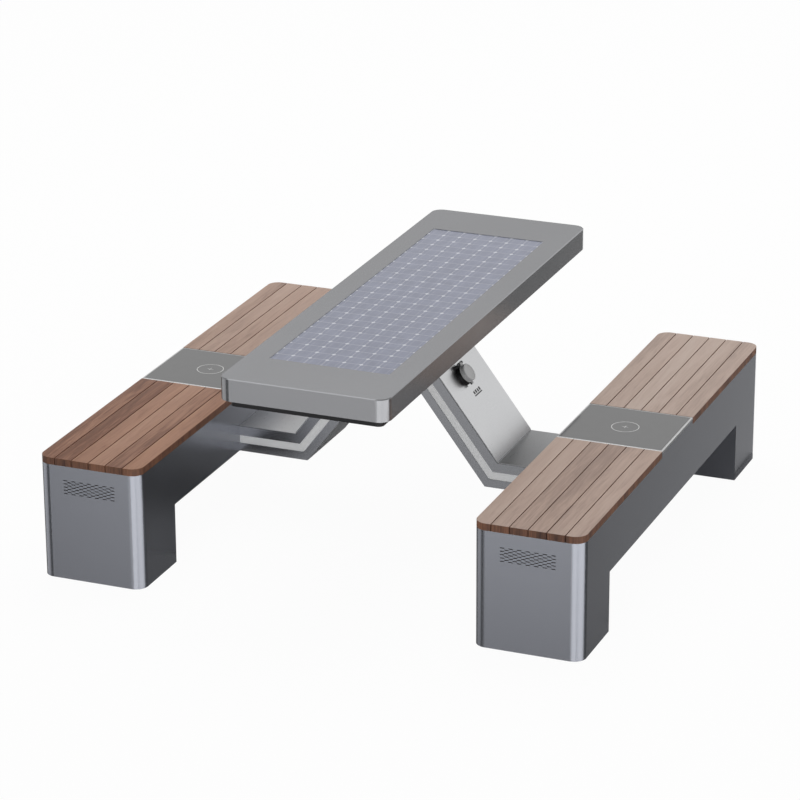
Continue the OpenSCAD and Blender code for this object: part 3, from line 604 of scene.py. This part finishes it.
def moulded(name, value, roughness, clouds=0.06, scale=900.0, bump=0.12, **values):
    inputs = {"Colour": rgba(value), "Clouds": clouds, "Roughness": roughness, "Scale": scale}
    return grouped(name, "Moulded Texture", bump, inputs, **values)


def finish_nodes(material, *names):
    for name in names:
        piece = NODES[name]
        if not piece.material_slots:
            piece.data.materials.append(material)
        for slot in piece.material_slots:
            slot.material = material


def both_sides(name):
    return [f"{name}_{side}" for side in SIDES]


# Meshes
def new_piece(name, mesh_builder, materials, body, replaced=()):
    mesh = bpy.data.meshes.new(name)
    mesh_builder.to_mesh(mesh)
    mesh_builder.free()
    piece = bpy.data.objects.new(name, mesh)
    bpy.context.scene.collection.objects.link(piece)
    for material in materials:
        mesh.materials.append(material)
    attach(piece, body)
    if replaced:
        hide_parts(*replaced)
    return piece


def smooth_soft_edges(mesh_builder):
    mesh_builder.normal_update()
    for face in mesh_builder.faces:
        face.smooth = True
    for edge in mesh_builder.edges:
        edge.smooth = len(edge.link_faces) == 2 and edge.calc_face_angle(0) < SMOOTH_ANGLE


def set_in_place(mesh_builder, place):
    mesh_builder.transform(place)
    bmesh.ops.recalc_face_normals(mesh_builder, faces=mesh_builder.faces)
    smooth_soft_edges(mesh_builder)


def circle(mesh_builder, radius, height, steps, centre=(0.0, 0.0)):
    x, y = centre
    turns = (2 * math.pi * i / steps for i in range(steps))
    points = ((x + radius * math.cos(t), y + radius * math.sin(t), height) for t in turns)
    return [mesh_builder.verts.new(point) for point in points]


def band(mesh_builder, ring, after):
    """Faces between two rings of as many points."""
    faces = []
    for i in range(len(ring)):
        j = (i + 1) % len(ring)
        faces.append(mesh_builder.faces.new((ring[i], ring[j], after[j], after[i])))
    return faces


def stack(mesh_builder, loops, side_slot=0):
    """Joins loops of points, lowest first, into a solid. Side_slot is for its foot and sides."""
    rings = [[mesh_builder.verts.new(point) for point in loop] for loop in loops]
    foot = mesh_builder.faces.new(rings[0][::-1])
    sides = band(mesh_builder, rings[0], rings[1])
    for face in (foot, *sides):
        face.material_index = side_slot
    for ring, after in zip(rings[1:], rings[2:]):
        band(mesh_builder, ring, after)
    mesh_builder.faces.new(rings[-1])


def flat_ring(mesh_builder, centre, inner, outer, low, high):
    """A closed flat ring between two radii and two heights."""
    corners = ((outer, low), (outer, high), (inner, high), (inner, low))
    rings = [circle(mesh_builder, radius, z, RING_STEPS, centre) for radius, z in corners]
    for ring, after in zip(rings, rings[1:] + rings[:1]):
        band(mesh_builder, ring, after)


def revolve(mesh_builder, profile, steps):
    """Turns radii and heights about local Z. The first and the last point lie on the axis."""
    low = mesh_builder.verts.new((0, 0, profile[0][1]))
    high = mesh_builder.verts.new((0, 0, profile[-1][1]))
    rings = [circle(mesh_builder, radius, z, steps) for radius, z in profile[1:-1]]
    for ring, after in zip(rings, rings[1:]):
        band(mesh_builder, ring, after)
    for i in range(steps):
        j = (i + 1) % steps
        mesh_builder.faces.new((low, rings[0][j], rings[0][i]))
        mesh_builder.faces.new((high, rings[-1][i], rings[-1][j]))


def rounded_bar(mesh_builder, low, high, bevel=0.0):
    """A box between two corners with bevelled edges."""
    part = bmesh.ops.create_cube(mesh_builder, size=1.0)
    low, high = Vector(low), Vector(high)
    size = high - low
    for vert in part["verts"]:
        x, y, z = vert.co
        vert.co = low + Vector(((x + 0.5) * size.x, (y + 0.5) * size.y, (z + 0.5) * size.z))
    if bevel:
        edges = {e for v in part["verts"] for e in v.link_edges}
        bmesh.ops.bevel(
            mesh_builder, geom=list(edges), offset=bevel, segments=2, affect="EDGES"
        )


def inward(points, distance):
    """Moves a convex outline, listed anticlockwise, inward by a distance."""
    moved = []
    for i, point in enumerate(points):
        before = (point - points[i - 1]).normalized()
        after = (points[(i + 1) % len(points)] - point).normalized()
        first = Vector((-before.y, before.x))
        second = Vector((-after.y, after.x))
        moved.append(point + (first + second) * (distance / (1 + first.dot(second))))
    return moved


def rounded_corner(centre, radius, start):
    angles = (start + QUARTER * i / CORNER_STEPS for i in range(CORNER_STEPS + 1))
    return [centre + radius * Vector((math.cos(angle), math.sin(angle))) for angle in angles]


def board_outline(low, high):
    """Plan of a board. A corner that is also the bench's corner is rounded."""
    middle = math.copysign(BENCH_X, low.x)
    points = []
    for x, y, side, end, start in (
        (low.x, low.y, -1, -1, math.pi),
        (high.x, low.y, 1, -1, -QUARTER),
        (high.x, high.y, 1, 1, 0.0),
        (low.x, high.y, -1, 1, QUARTER),
    ):
        at_side = abs(abs(x - middle) - BENCH_HALF) < TOUCHING
        at_end = abs(abs(y) - CAD_BOX[1].y) < TOUCHING
        if at_side and at_end:
            centre = Vector((x - side * SLAT_CORNER, y - end * SLAT_CORNER))
            points += rounded_corner(centre, SLAT_CORNER, start)
        else:
            points.append(Vector((x, y)))
    return points


def board(node, rounding):
    low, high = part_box(node)
    outline = board_outline(low, high)
    loops = [(outline, low.z), (outline, high.z - rounding)]
    for step in range(1, EDGE_STEPS + 1):
        angle = QUARTER * step / EDGE_STEPS
        inset = inward(outline, rounding * (1 - math.cos(angle)))
        loops.append((inset, high.z - rounding + rounding * math.sin(angle)))
    mesh_builder = bmesh.new()
    stack(mesh_builder, [[Vector((*p, z)) for p in loop] for loop, z in loops], side_slot=1)
    smooth_soft_edges(mesh_builder)
    return mesh_builder


def board_value(tree, name):
    return add(tree, "ShaderNodeAttribute", attribute_name=name).outputs["Fac"]


class BENCH_OT_seat(bpy.types.Operator):
    """Makes the seat boards, with rounded edges and a grain of their own"""

    bl_idname = "charging_bench.seat"
    bl_label = "Seat boards"

    def execute(self, context):
        seat = settings("seat")
        top, tree, shader = new_material("seat_wood", IOR=1.30)
        inputs = {
            "Light": rgba(seat.light),
            "Middle": rgba(seat.middle),
            "Dark": rgba(seat.dark),
            "Sheen Colour": rgba(seat.sheen_pale),
            "Board": board_value(tree, "board"),
            "Sheen Amount": board_value(tree, "sheen_amount"),
            "Roughness": seat.roughness - FIBRE_ROUGHNESS / 2,
        }
        group = place_group(tree, "Wood Grain", inputs)
        dress(tree, shader, group, bump=0.25, distance=0.0003)
        edge, tree, shader = new_material("seat_wood_edge", Roughness=0.55)
        inputs = {
            "Light": rgba(seat.edge_light),
            "Dark": rgba(seat.edge_dark),
            "Board": board_value(tree, "board"),
        }
        group = place_group(tree, "Board Edge", inputs)
        dress(tree, shader, group, bump=0.25, distance=0.0003)
        tones = random.Random(SEED)
        for node in sorted(n for n in NODES if n.startswith("slat_")):
            name = node.replace("slat", "seat_board")
            mesh_builder = board(node, seat.rounding)
            piece = new_piece(name, mesh_builder, [top, edge], "root", [node])
            # Painted sheen by half of a bench, spread a little between boards
            half = "_".join(node.split("_")[1:3])
            sheen = PAINTED_SHEEN[half] + PAINTED_SHEEN_SPREAD * (tones.random() - 0.5)
            for label, number in (("board", tones.random()), ("sheen_amount", max(sheen, 0.0))):
                values = piece.data.attributes.new(label, "FLOAT", "POINT")
                values.data.foreach_set("value", [number] * len(piece.data.vertices))
        return {"FINISHED"}


class BENCH_OT_bodies(bpy.types.Operator):
    """Coats the bench bodies and finishes what holds the boards and the feet"""

    bl_idname = "charging_bench.bodies"
    bl_label = "Bench bodies"

    def execute(self, context):
        metal = settings("metal")
        material = coated("bench_metal", metal.bench, metal.metallic, metal.roughness)
        tree = material.node_tree
        base = find(tree, "BSDF_PRINCIPLED").inputs["Base Color"]
        coat = base.links[0].from_socket
        # Painted shade: the walls inside the vents' slots are coloured near black
        mask = place_group(tree, "Slot Shade Mask", {}).outputs["Mask"]
        tree.links.new(mix_colour(tree, mask, coat, SLOT_PAINTED_SHADE), base)
        finish_nodes(material, *both_sides("bench_shell"))
        batten = brushed("batten", (0.60, 0.61, 0.63), roughness=0.38, stretch=(0.02, 1.0, 1.0))
        finish_nodes(batten, *both_sides("seat_battens"))
        plate = coated(
            "base_plate", (0.13, 0.13, 0.14), metallic=0.5, roughness=0.55, clouds=0.10,
            flakes=0.10, bump=0.2,
        )
        finish_nodes(plate, *(n for n in NODES if n.startswith("base_plate_")))
        return {"FINISHED"}


class BENCH_OT_contents(bpy.types.Operator):
    """Finishes the batteries, the controller, the inverter, the coils and the wiring"""

    bl_idname = "charging_bench.contents"
    bl_label = "Contents"

    def execute(self, context):
        for node, maker, value, finish in (
            ("batteries", moulded, (0.035, 0.037, 0.042), {"roughness": 0.55}),
            ("wiring", moulded, (0.020, 0.020, 0.021), {"roughness": 0.6}),
            ("junction_box", moulded, (0.022, 0.022, 0.024), {"roughness": 0.5}),
            ("led_boards", moulded, (0.75, 0.75, 0.70), {"roughness": 0.45}),
            ("solar_backsheet", moulded, (0.80, 0.81, 0.84), {"roughness": 0.45}),
            ("charger_coils", brushed, (0.72, 0.43, 0.25),
             {"roughness": 0.35, "stretch": (1.0, 1.0, 0.05), "contrast": 0.2}),
            ("charge_controller", coated, (0.06, 0.12, 0.22),
             {"metallic": 0.7, "roughness": 0.38}),
            ("inverter", coated, (0.45, 0.46, 0.48),
             {"metallic": 0.8, "roughness": 0.42, "clouds": 0.08, "flakes": 0.12, "bump": 0.2}),
            ("fasteners", coated, (0.55, 0.56, 0.58),
             {"metallic": 1.0, "roughness": 0.30, "clouds": 0.10, "flakes": 0.10, "bump": 0.1}),
        ):
            finish_nodes(maker(node, value, **finish), node)
        return {"FINISHED"}


class BENCH_OT_pads(bpy.types.Operator):
    """Finishes the charging pads and prints the ring and the spark on each"""

    bl_idname = "charging_bench.pads"
    bl_label = "Charging pads"

    def execute(self, context):
        trim = settings("trim")
        bezel = brushed(
            "bezel_metal", settings("metal").bezel, roughness=0.28, stretch=(1.0, 0.03, 1.0)
        )
        finish_nodes(bezel, *both_sides("charger_bezel"))
        glass = moulded(
            "pad_glass", trim.pad, roughness=0.04, clouds=0.02, scale=400.0, bump=0.0, IOR=1.8
        )
        finish_nodes(glass, *both_sides("charger_glass"))
        ink = moulded(
            "pad_print", trim.print, roughness=0.45, clouds=0.03, scale=1500.0, bump=0.05,
            Coat_Weight=0.5, Coat_Roughness=0.1,
        )
        heights = SEAT_Z - PRINT_BITE, SEAT_Z + PAD_PRINT
        for side, sign in SIDES.items():
            centre = Vector((sign * BENCH_X, 0.0))
            mesh_builder = bmesh.new()
            flat_ring(mesh_builder, centre, trim.ring - trim.ring_width, trim.ring, *heights)
            smooth_soft_edges(mesh_builder)
            new_piece(f"pad_ring_{side}", mesh_builder, [ink], "root")
            outline = []
            for i in range(SPARK_STEPS):
                turn = 2 * math.pi * i / SPARK_STEPS
                point = abs(math.cos(2 * turn)) ** SPARK_SHARPNESS
                reach = trim.spark / 2 * (SPARK_WAIST + (1 - SPARK_WAIST) * point)
                outline.append(centre + reach * Vector((math.cos(turn), math.sin(turn))))
            mesh_builder = bmesh.new()
            stack(mesh_builder, [[Vector((*p, z)) for p in outline] for z in heights])
            new_piece(f"pad_spark_{side}", mesh_builder, [ink], "root")
        return {"FINISHED"}


# Slots of the panel's materials
CELL, BAR, FILM = 0, 1, 2


def cell_tile(mesh_builder, corner, pitch, panel):
    """One cell with its share of the film around it, level with the panel's face."""

    def vert(x, y):
        return mesh_builder.verts.new((corner[0] + x, corner[1] + y, PANEL_TOP))

    def face(slot, *points):
        mesh_builder.faces.new(points).material_index = slot

    w, h = pitch
    near, cut = panel.gap / 2, panel.gap / 2 + panel.corner
    half = panel.bar_width / 2
    bars = [w * place + side for place in BAR_PLACES for side in (-half, half)]
    xs = [cut, *bars, w - near - panel.corner]
    low = [vert(x, near) for x in xs]
    high = [vert(x, h - near) for x in xs]
    left = [vert(near, cut), vert(near, h - near - panel.corner)]
    right = [vert(w - near, cut), vert(w - near, h - near - panel.corner)]
    rim = [vert(0, 0), vert(w, 0), vert(w, h), vert(0, h)]

    face(CELL, left[0], low[0], low[1], high[1], high[0], left[1])
    face(BAR, low[1], low[2], high[2], high[1])
    face(CELL, low[2], low[3], high[3], high[2])
    face(BAR, low[3], low[4], high[4], high[3])
    face(CELL, low[4], low[5], right[0], right[1], high[5], high[4])
    face(FILM, rim[0], rim[1], *low[::-1])
    face(FILM, rim[2], rim[3], *high)
    face(FILM, rim[1], rim[2], right[1], right[0])
    face(FILM, rim[3], rim[0], left[0], left[1])
    face(FILM, rim[0], low[0], left[0])
    face(FILM, rim[1], right[0], low[5])
    face(FILM, rim[2], high[5], right[1])
    face(FILM, rim[3], left[1], high[0])


def open_edges(mesh_builder):
    return [edge for edge in mesh_builder.edges if len(edge.link_faces) == 1]


def laminate(panel):
    """The panel as one closed sheet, with its cells let into the face."""
    mesh_builder = bmesh.new()
    w, h = pitch = (PANEL_SIZE[0] / CELLS[0], PANEL_SIZE[1] / CELLS[1])
    for column in range(CELLS[0]):
        for row in range(CELLS[1]):
            corner = (column * w - PANEL_SIZE[0] / 2, row * h - PANEL_SIZE[1] / 2)
            cell_tile(mesh_builder, corner, pitch, panel)
    bmesh.ops.remove_doubles(mesh_builder, verts=mesh_builder.verts, dist=0.00001)
    made = bmesh.ops.extrude_edge_only(mesh_builder, edges=open_edges(mesh_builder))["geom"]
    drop = Vector((0, 0, PANEL_BOTTOM - PANEL_TOP))
    lowered = [vert for vert in made if isinstance(vert, bmesh.types.BMVert)]
    bmesh.ops.translate(mesh_builder, vec=drop, verts=lowered)
    bmesh.ops.holes_fill(mesh_builder, edges=open_edges(mesh_builder), sides=0)
    bmesh.ops.recalc_face_normals(mesh_builder, faces=mesh_builder.faces)
    for face in mesh_builder.faces:
        if face.normal.z < 0.5:
            face.material_index = FILM
    return mesh_builder


class BENCH_OT_panel(bpy.types.Operator):
    """Makes the solar panel: cells with cut corners, conductors and white film, as one sheet"""

    bl_idname = "charging_bench.panel"
    bl_label = "Solar panel"

    def execute(self, context):
        panel = settings("panel")
        cell, tree, shader = new_material("solar_cells")
        parts = add(tree, "ShaderNodeSeparateXYZ", {0: object_place(tree)}).outputs
        fingers = math_node(tree, "PINGPONG", parts["Y"], FINGER_PITCH)
        fingers = spread(tree, fingers, 0.0, FINGER_PITCH, 1.10, 0.95)
        inputs = {"Colour": rgba(panel.cell), "Clouds": 0.08, "Roughness": 0.16, "Scale": 300.0}
        group = place_group(tree, "Moulded Texture", inputs).outputs
        tree.links.new(shaded(tree, group["Colour"], fingers), shader.inputs["Base Color"])
        tree.links.new(group["Roughness"], shader.inputs["Roughness"])
        bar = moulded("solar_conductors", panel.bar, roughness=0.16, clouds=0.02, bump=0.0)
        film = moulded("solar_film", panel.film, roughness=0.16, clouds=0.02, bump=0.0)
        replaced = ["solar_glass", "solar_cells"]
        sheet = laminate(panel)
        new_piece("solar_laminate", sheet, [cell, bar, film], "root", replaced)
        return {"FINISHED"}


class BENCH_OT_table(bpy.types.Operator):
    """Coats the table's frame and pan"""

    bl_idname = "charging_bench.table"
    bl_label = "Table"

    def execute(self, context):
        metal = settings("metal")
        top = coated("table_frame", metal.table, metal.metallic, metal.roughness)
        finish_nodes(top, "table_frame")
        finish_nodes(coated("table_pan", metal.pan, metallic=0.4, roughness=0.42), "table_pan")
        return {"FINISHED"}


def slope_place(side):
    """The socket's place: local X runs up the slope, local Z stands on the cover."""
    sign = SIDES[side]
    joint = next(j for j in frame["joints"] if j["name"] == f"lid_{side}_hinge")
    up = Vector((-sign * math.cos(SLOPE), 0, math.sin(SLOPE)))
    out = Vector((sign * math.sin(SLOPE), 0, math.cos(SLOPE)))
    place = Matrix((up, Vector((0, -1, 0)), out)).transposed().to_4x4()
    place.translation = Vector(joint["pos_m"]) - HINGE_OFFSET[0] * up - HINGE_OFFSET[1] * out
    return place


def socket_mark():
    """A bar with a row of ticks over it."""
    mesh_builder = bmesh.new()
    low, high = -PRINT_BITE, COVER_PRINT
    first, last = MARK_CENTRE - MARK_HALF, MARK_CENTRE + MARK_HALF
    rounded_bar(mesh_builder, (MARK_BAR[0], first, low), (MARK_BAR[1], last, high))
    for i in range(TICKS):
        y = first + 2 * MARK_HALF * (i + 0.5) / TICKS
        reach = TICK_START + TICK_REACH[i % 2]
        start = (TICK_START, y - TICK_HALF, low)
        rounded_bar(mesh_builder, start, (reach, y + TICK_HALF, high))
    return mesh_builder


class BENCH_OT_arms(bpy.types.Operator):
    """Coats the arms, brushes their covers, finishes the light strips and prints the marks"""

    bl_idname = "charging_bench.arms"
    bl_label = "Arms and lights"

    def execute(self, context):
        metal = settings("metal")
        trim = settings("trim")
        arm = coated("arm_metal", metal.arm, metal.metallic, metal.roughness)
        finish_nodes(arm, *both_sides("arm_frame"))
        cover = brushed("arm_cover", metal.cover, roughness=0.29, contrast=0.012)
        finish_nodes(cover, *both_sides("arm_covers"))
        # The strips glow: a dim lamp, and painted light that keeps them pale on shaded faces
        opal = moulded(
            "led_diffusers", trim.diffuser, roughness=0.35, clouds=0.02, scale=1200.0, bump=0.05,
            Coat_Weight=0.3, Coat_Roughness=0.15, Emission_Color=rgba(trim.diffuser),
            Emission_Strength=trim.glow_and_painted_light,
        )
        finish_nodes(opal, "led_diffusers")
        ink = moulded(
            "socket_marks", (0.030, 0.030, 0.032), roughness=0.5, clouds=0.03, scale=1500.0,
            bump=0.05,
        )
        for side in SIDES:
            mesh_builder = socket_mark()
            set_in_place(mesh_builder, slope_place(side))
            new_piece(f"socket_marks_{side}", mesh_builder, [ink], "root")
        return {"FINISHED"}


def flip_lid():
    """A turned lid with its hinge lug and knuckle, and a ribbed thumb tab."""
    mesh_builder = bmesh.new()
    revolve(mesh_builder, [(radius, z + LID_SEAT) for radius, z in LID_PROFILE], LID_STEPS)
    for (*low, bottom), (*high, top), bevel in LID_BARS:
        rounded_bar(mesh_builder, (*low, LID_SEAT + bottom), (*high, LID_SEAT + top), bevel)
    hinge = Matrix.Translation((HINGE_OFFSET[0], 0.0, HINGE_OFFSET[1]))
    turn = Matrix.Rotation(QUARTER, 4, "X")
    bmesh.ops.create_cone(mesh_builder, cap_ends=True, matrix=hinge @ turn, **KNUCKLE)
    return mesh_builder


def port_pieces(bars):
    """The same bars in both ports."""
    mesh_builder = bmesh.new()
    for x in PORTS:
        for (left, *low), (right, *high), bevel in bars:
            rounded_bar(mesh_builder, (x + left, *low), (x + right, *high), bevel)
    return mesh_builder


class BENCH_OT_sockets(bpy.types.Operator):
    """Makes the socket lids and the ports' contacts, and finishes the rest of the sockets"""

    bl_idname = "charging_bench.sockets"
    bl_label = "Sockets"

    def execute(self, context):
        trim = settings("trim")
        base = moulded(
            "socket_base", trim.socket, roughness=0.42, clouds=0.10, scale=1400.0, bump=0.10
        )
        finish_nodes(base, *both_sides("socket_base"))
        finish_nodes(moulded("socket_seals", (0.02, 0.02, 0.02), roughness=0.75), "socket_seals")
        pin = brushed("hinge_pins", (0.60, 0.60, 0.62), roughness=0.25, stretch=(1.0, 0.05, 1.0))
        finish_nodes(pin, "hinge_pins")
        grey = moulded(
            "socket_lid", trim.lid, roughness=0.38, clouds=0.05, scale=1200.0, bump=0.10,
            Coat_Weight=0.15, Coat_Roughness=0.25,
        )
        shell = brushed(
            "port_shell", (0.62, 0.62, 0.64), roughness=0.30, stretch=(1.0, 1.0, 0.05)
        )
        tongue = moulded("port_tongue", (0.06, 0.06, 0.065), roughness=0.45)
        for side in SIDES:
            old = [f"socket_lid_{side}"]
            for name, mesh_builder, material, body, slot, replaced in (
                ("flip_lid", flip_lid(), grey, f"lid_{side}", "socket_lid", old),
                ("port_tongues", port_pieces(TONGUE), tongue, "root", "socket_base", []),
                ("port_shells", port_pieces(SHELL), shell, "root", "socket_base", []),
            ):
                set_in_place(mesh_builder, slope_place(side))
                new_piece(f"{name}_{side}", mesh_builder, [material], body, replaced)
        return {"FINISHED"}


# The studio
def area_lamp(name, place, size, power):
    data = bpy.data.lights.new(name, "AREA")
    data.shape = "RECTANGLE"
    data.size, data.size_y = size
    data.energy = power
    lamp = bpy.data.objects.new(name, data)
    bpy.context.scene.collection.objects.link(lamp)
    lamp.location = place
    lamp.rotation_mode = "QUATERNION"
    lamp.rotation_quaternion = (Vector(AIM) - Vector(place)).to_track_quat("-Z", "Y")
    return lamp


def reflector(name, first, last, low, high, brightness):
    """A distant card that only shows in reflections."""
    bearing, height = math.radians((first + last) / 2), math.radians((low + high) / 2)
    level = math.cos(height)
    place = CARD_DISTANCE * Vector(
        (math.sin(bearing) * level, math.cos(bearing) * level, math.sin(height))
    )
    width = 2 * CARD_DISTANCE * level * math.tan(math.radians(last - first) / 2)
    tall = 2 * CARD_DISTANCE * math.tan(math.radians(high - low) / 2)
    card = area_lamp(name, place, (width, tall), math.pi * width * tall * brightness)
    card.visible_diffuse = False
    card.visible_camera = False


def stage_sheet(name, low, high, height, material):
    """A flat rectangle of the stage between two corners."""
    mesh = bpy.data.meshes.new(name)
    (x0, y0), (x1, y1) = low, high
    corners = [(x, y, height) for x, y in ((x0, y0), (x1, y0), (x1, y1), (x0, y1))]
    mesh.from_pydata(corners, [], [(0, 1, 2, 3)])
    mesh.materials.append(material)
    sheet = bpy.data.objects.new(name, mesh)
    bpy.context.scene.collection.objects.link(sheet)
    return sheet


def floor_material(white):
    """Pale floor that mostly shows as plain white, and is clear from below."""
    material, tree, shader = new_material("studio_floor", Base_Color=FLOOR_COLOUR, Roughness=0.9)
    camera_ray = add(tree, "ShaderNodeLightPath").outputs["Is Camera Ray"]
    plain = add(tree, "ShaderNodeEmission", {"Color": (1, 1, 1, 1), "Strength": 1.0})
    part = product(tree, camera_ray, white)
    inputs = {0: part, 1: shader.outputs[0], 2: plain.outputs[0]}
    seen = add(tree, "ShaderNodeMixShader", inputs)
    back = add(tree, "ShaderNodeNewGeometry").outputs["Backfacing"]
    clear = add(tree, "ShaderNodeBsdfTransparent")
    inputs = {0: back, 1: seen.outputs[0], 2: clear.outputs[0]}
    below = add(tree, "ShaderNodeMixShader", inputs)
    tree.links.new(below.outputs[0], find(tree, "OUTPUT_MATERIAL").inputs["Surface"])
    return material


def studio_world(ambient):
    """White to the camera, an even light on the set, and the dark studio in reflections."""
    world = bpy.data.worlds.new("studio")
    world.use_nodes = True
    tree = world.node_tree
    background = find(tree, "BACKGROUND")
    background.inputs["Color"].default_value = (1, 1, 1, 1)
    sky = add(tree, "ShaderNodeTexCoord").outputs["Generated"]
    direction = add(tree, "ShaderNodeSeparateXYZ", {0: sky}).outputs
    wall = add(tree, "ShaderNodeValToRGB", {"Fac": spread(tree, direction["Z"], -1.0, 1.0)})
    stops = wall.color_ramp.elements
    for height, _ in WALL[1:-1]:
        stops.new((height + 1) / 2)
    for stop, (height, value) in zip(stops, WALL):
        stop.position = (height + 1) / 2
        stop.color = (value, value, value, 1)
    path = add(tree, "ShaderNodeLightPath").outputs
    inputs = {"Factor": path["Is Glossy Ray"], "A": ambient, "B": wall.outputs[0]}
    lit = add(tree, "ShaderNodeMix", inputs).outputs[0]
    strength = math_node(tree, "MAXIMUM", lit, path["Is Camera Ray"])
    tree.links.new(strength, background.inputs["Strength"])
    return world


def studio_camera():
    """The camera, turned by its three angles."""
    data = bpy.data.cameras.new("studio_camera")
    data.lens = CAMERA_LENS
    data.sensor_width = CAMERA_SENSOR
    data.clip_end = CAMERA_REACH
    camera = bpy.data.objects.new("studio_camera", data)
    bpy.context.scene.collection.objects.link(camera)
    yaw, pitch, roll = CAMERA_YAW, CAMERA_PITCH, CAMERA_ROLL
    level = math.cos(pitch)
    ahead = Vector((-math.sin(yaw) * level, math.cos(yaw) * level, math.sin(pitch)))
    right = Vector((math.cos(yaw), math.sin(yaw), 0))
    up = right.cross(ahead)
    across = right * math.cos(roll) + up * math.sin(roll)
    upright = up * math.cos(roll) - right * math.sin(roll)
    turn = Matrix((across, upright, -ahead)).transposed().to_4x4()
    turn.translation = CAMERA_PLACE
    camera.matrix_world = turn
    return camera


class BENCH_OT_studio(bpy.types.Operator):
    """Sets the floor, the lamps, the world and the camera"""

    bl_idname = "charging_bench.studio"
    bl_label = "Studio"

    def execute(self, context):
        studio = settings("studio")
        scene = context.scene
        scene.view_settings.view_transform = "Standard"
        pale = floor_material(studio.white)
        floor = stage_sheet("studio_floor", FLOOR_LOW, FLOOR_HIGH, 0.0, pale)
        floor.visible_glossy = floor.visible_shadow = False
        # Painted shade under the set, seen only in reflections
        dark = new_material("studio_mat", Base_Color=MAT_SHADE_COLOUR, Roughness=1.0)[0]
        mat = stage_sheet("studio_mat", MAT_LOW, MAT_HIGH, MAT_HEIGHT, dark)
        mat.visible_camera = mat.visible_diffuse = mat.visible_shadow = False
        scene.world = studio_world(studio.ambient)
        area_lamp("key", KEY_PLACE, KEY_SIZE, studio.key)
        for *card, brightness in CARDS:
            reflector(*card, brightness * studio.reflections)
        scene.camera = studio_camera()
        return {"FINISHED"}


OPERATORS = (
    BENCH_OT_seat,
    BENCH_OT_bodies,
    BENCH_OT_contents,
    BENCH_OT_pads,
    BENCH_OT_panel,
    BENCH_OT_table,
    BENCH_OT_arms,
    BENCH_OT_sockets,
    BENCH_OT_studio,
)


class BENCH_PT_panel(bpy.types.Panel):
    """Lists the pieces of the charging bench and their settings"""

    bl_idname = "BENCH_PT_panel"
    bl_label = "Charging Bench"
    bl_space_type = "VIEW_3D"
    bl_region_type = "UI"
    bl_category = "Charging Bench"

    def draw(self, context):
        layout = self.layout
        for name, group in SETTINGS.items():
            box = layout.box()
            box.label(text=name.capitalize())
            for field in group.__annotations__:
                box.prop(getattr(context.scene.charging_bench, name), field)
        for operator in OPERATORS:
            layout.operator(operator.bl_idname)


CLASSES = (*SETTINGS.values(), BenchSettings, *OPERATORS, BENCH_PT_panel)


def register():
    for item in CLASSES:
        bpy.utils.register_class(item)
    bpy.types.Scene.charging_bench = PointerProperty(type=BenchSettings)


def unregister():
    del bpy.types.Scene.charging_bench
    for item in reversed(CLASSES):
        bpy.utils.unregister_class(item)


def main():
    register()
    for operator in OPERATORS:
        group, name = operator.bl_idname.split(".")
        getattr(getattr(bpy.ops, group), name)()


if __name__ == "__main__":
    main()
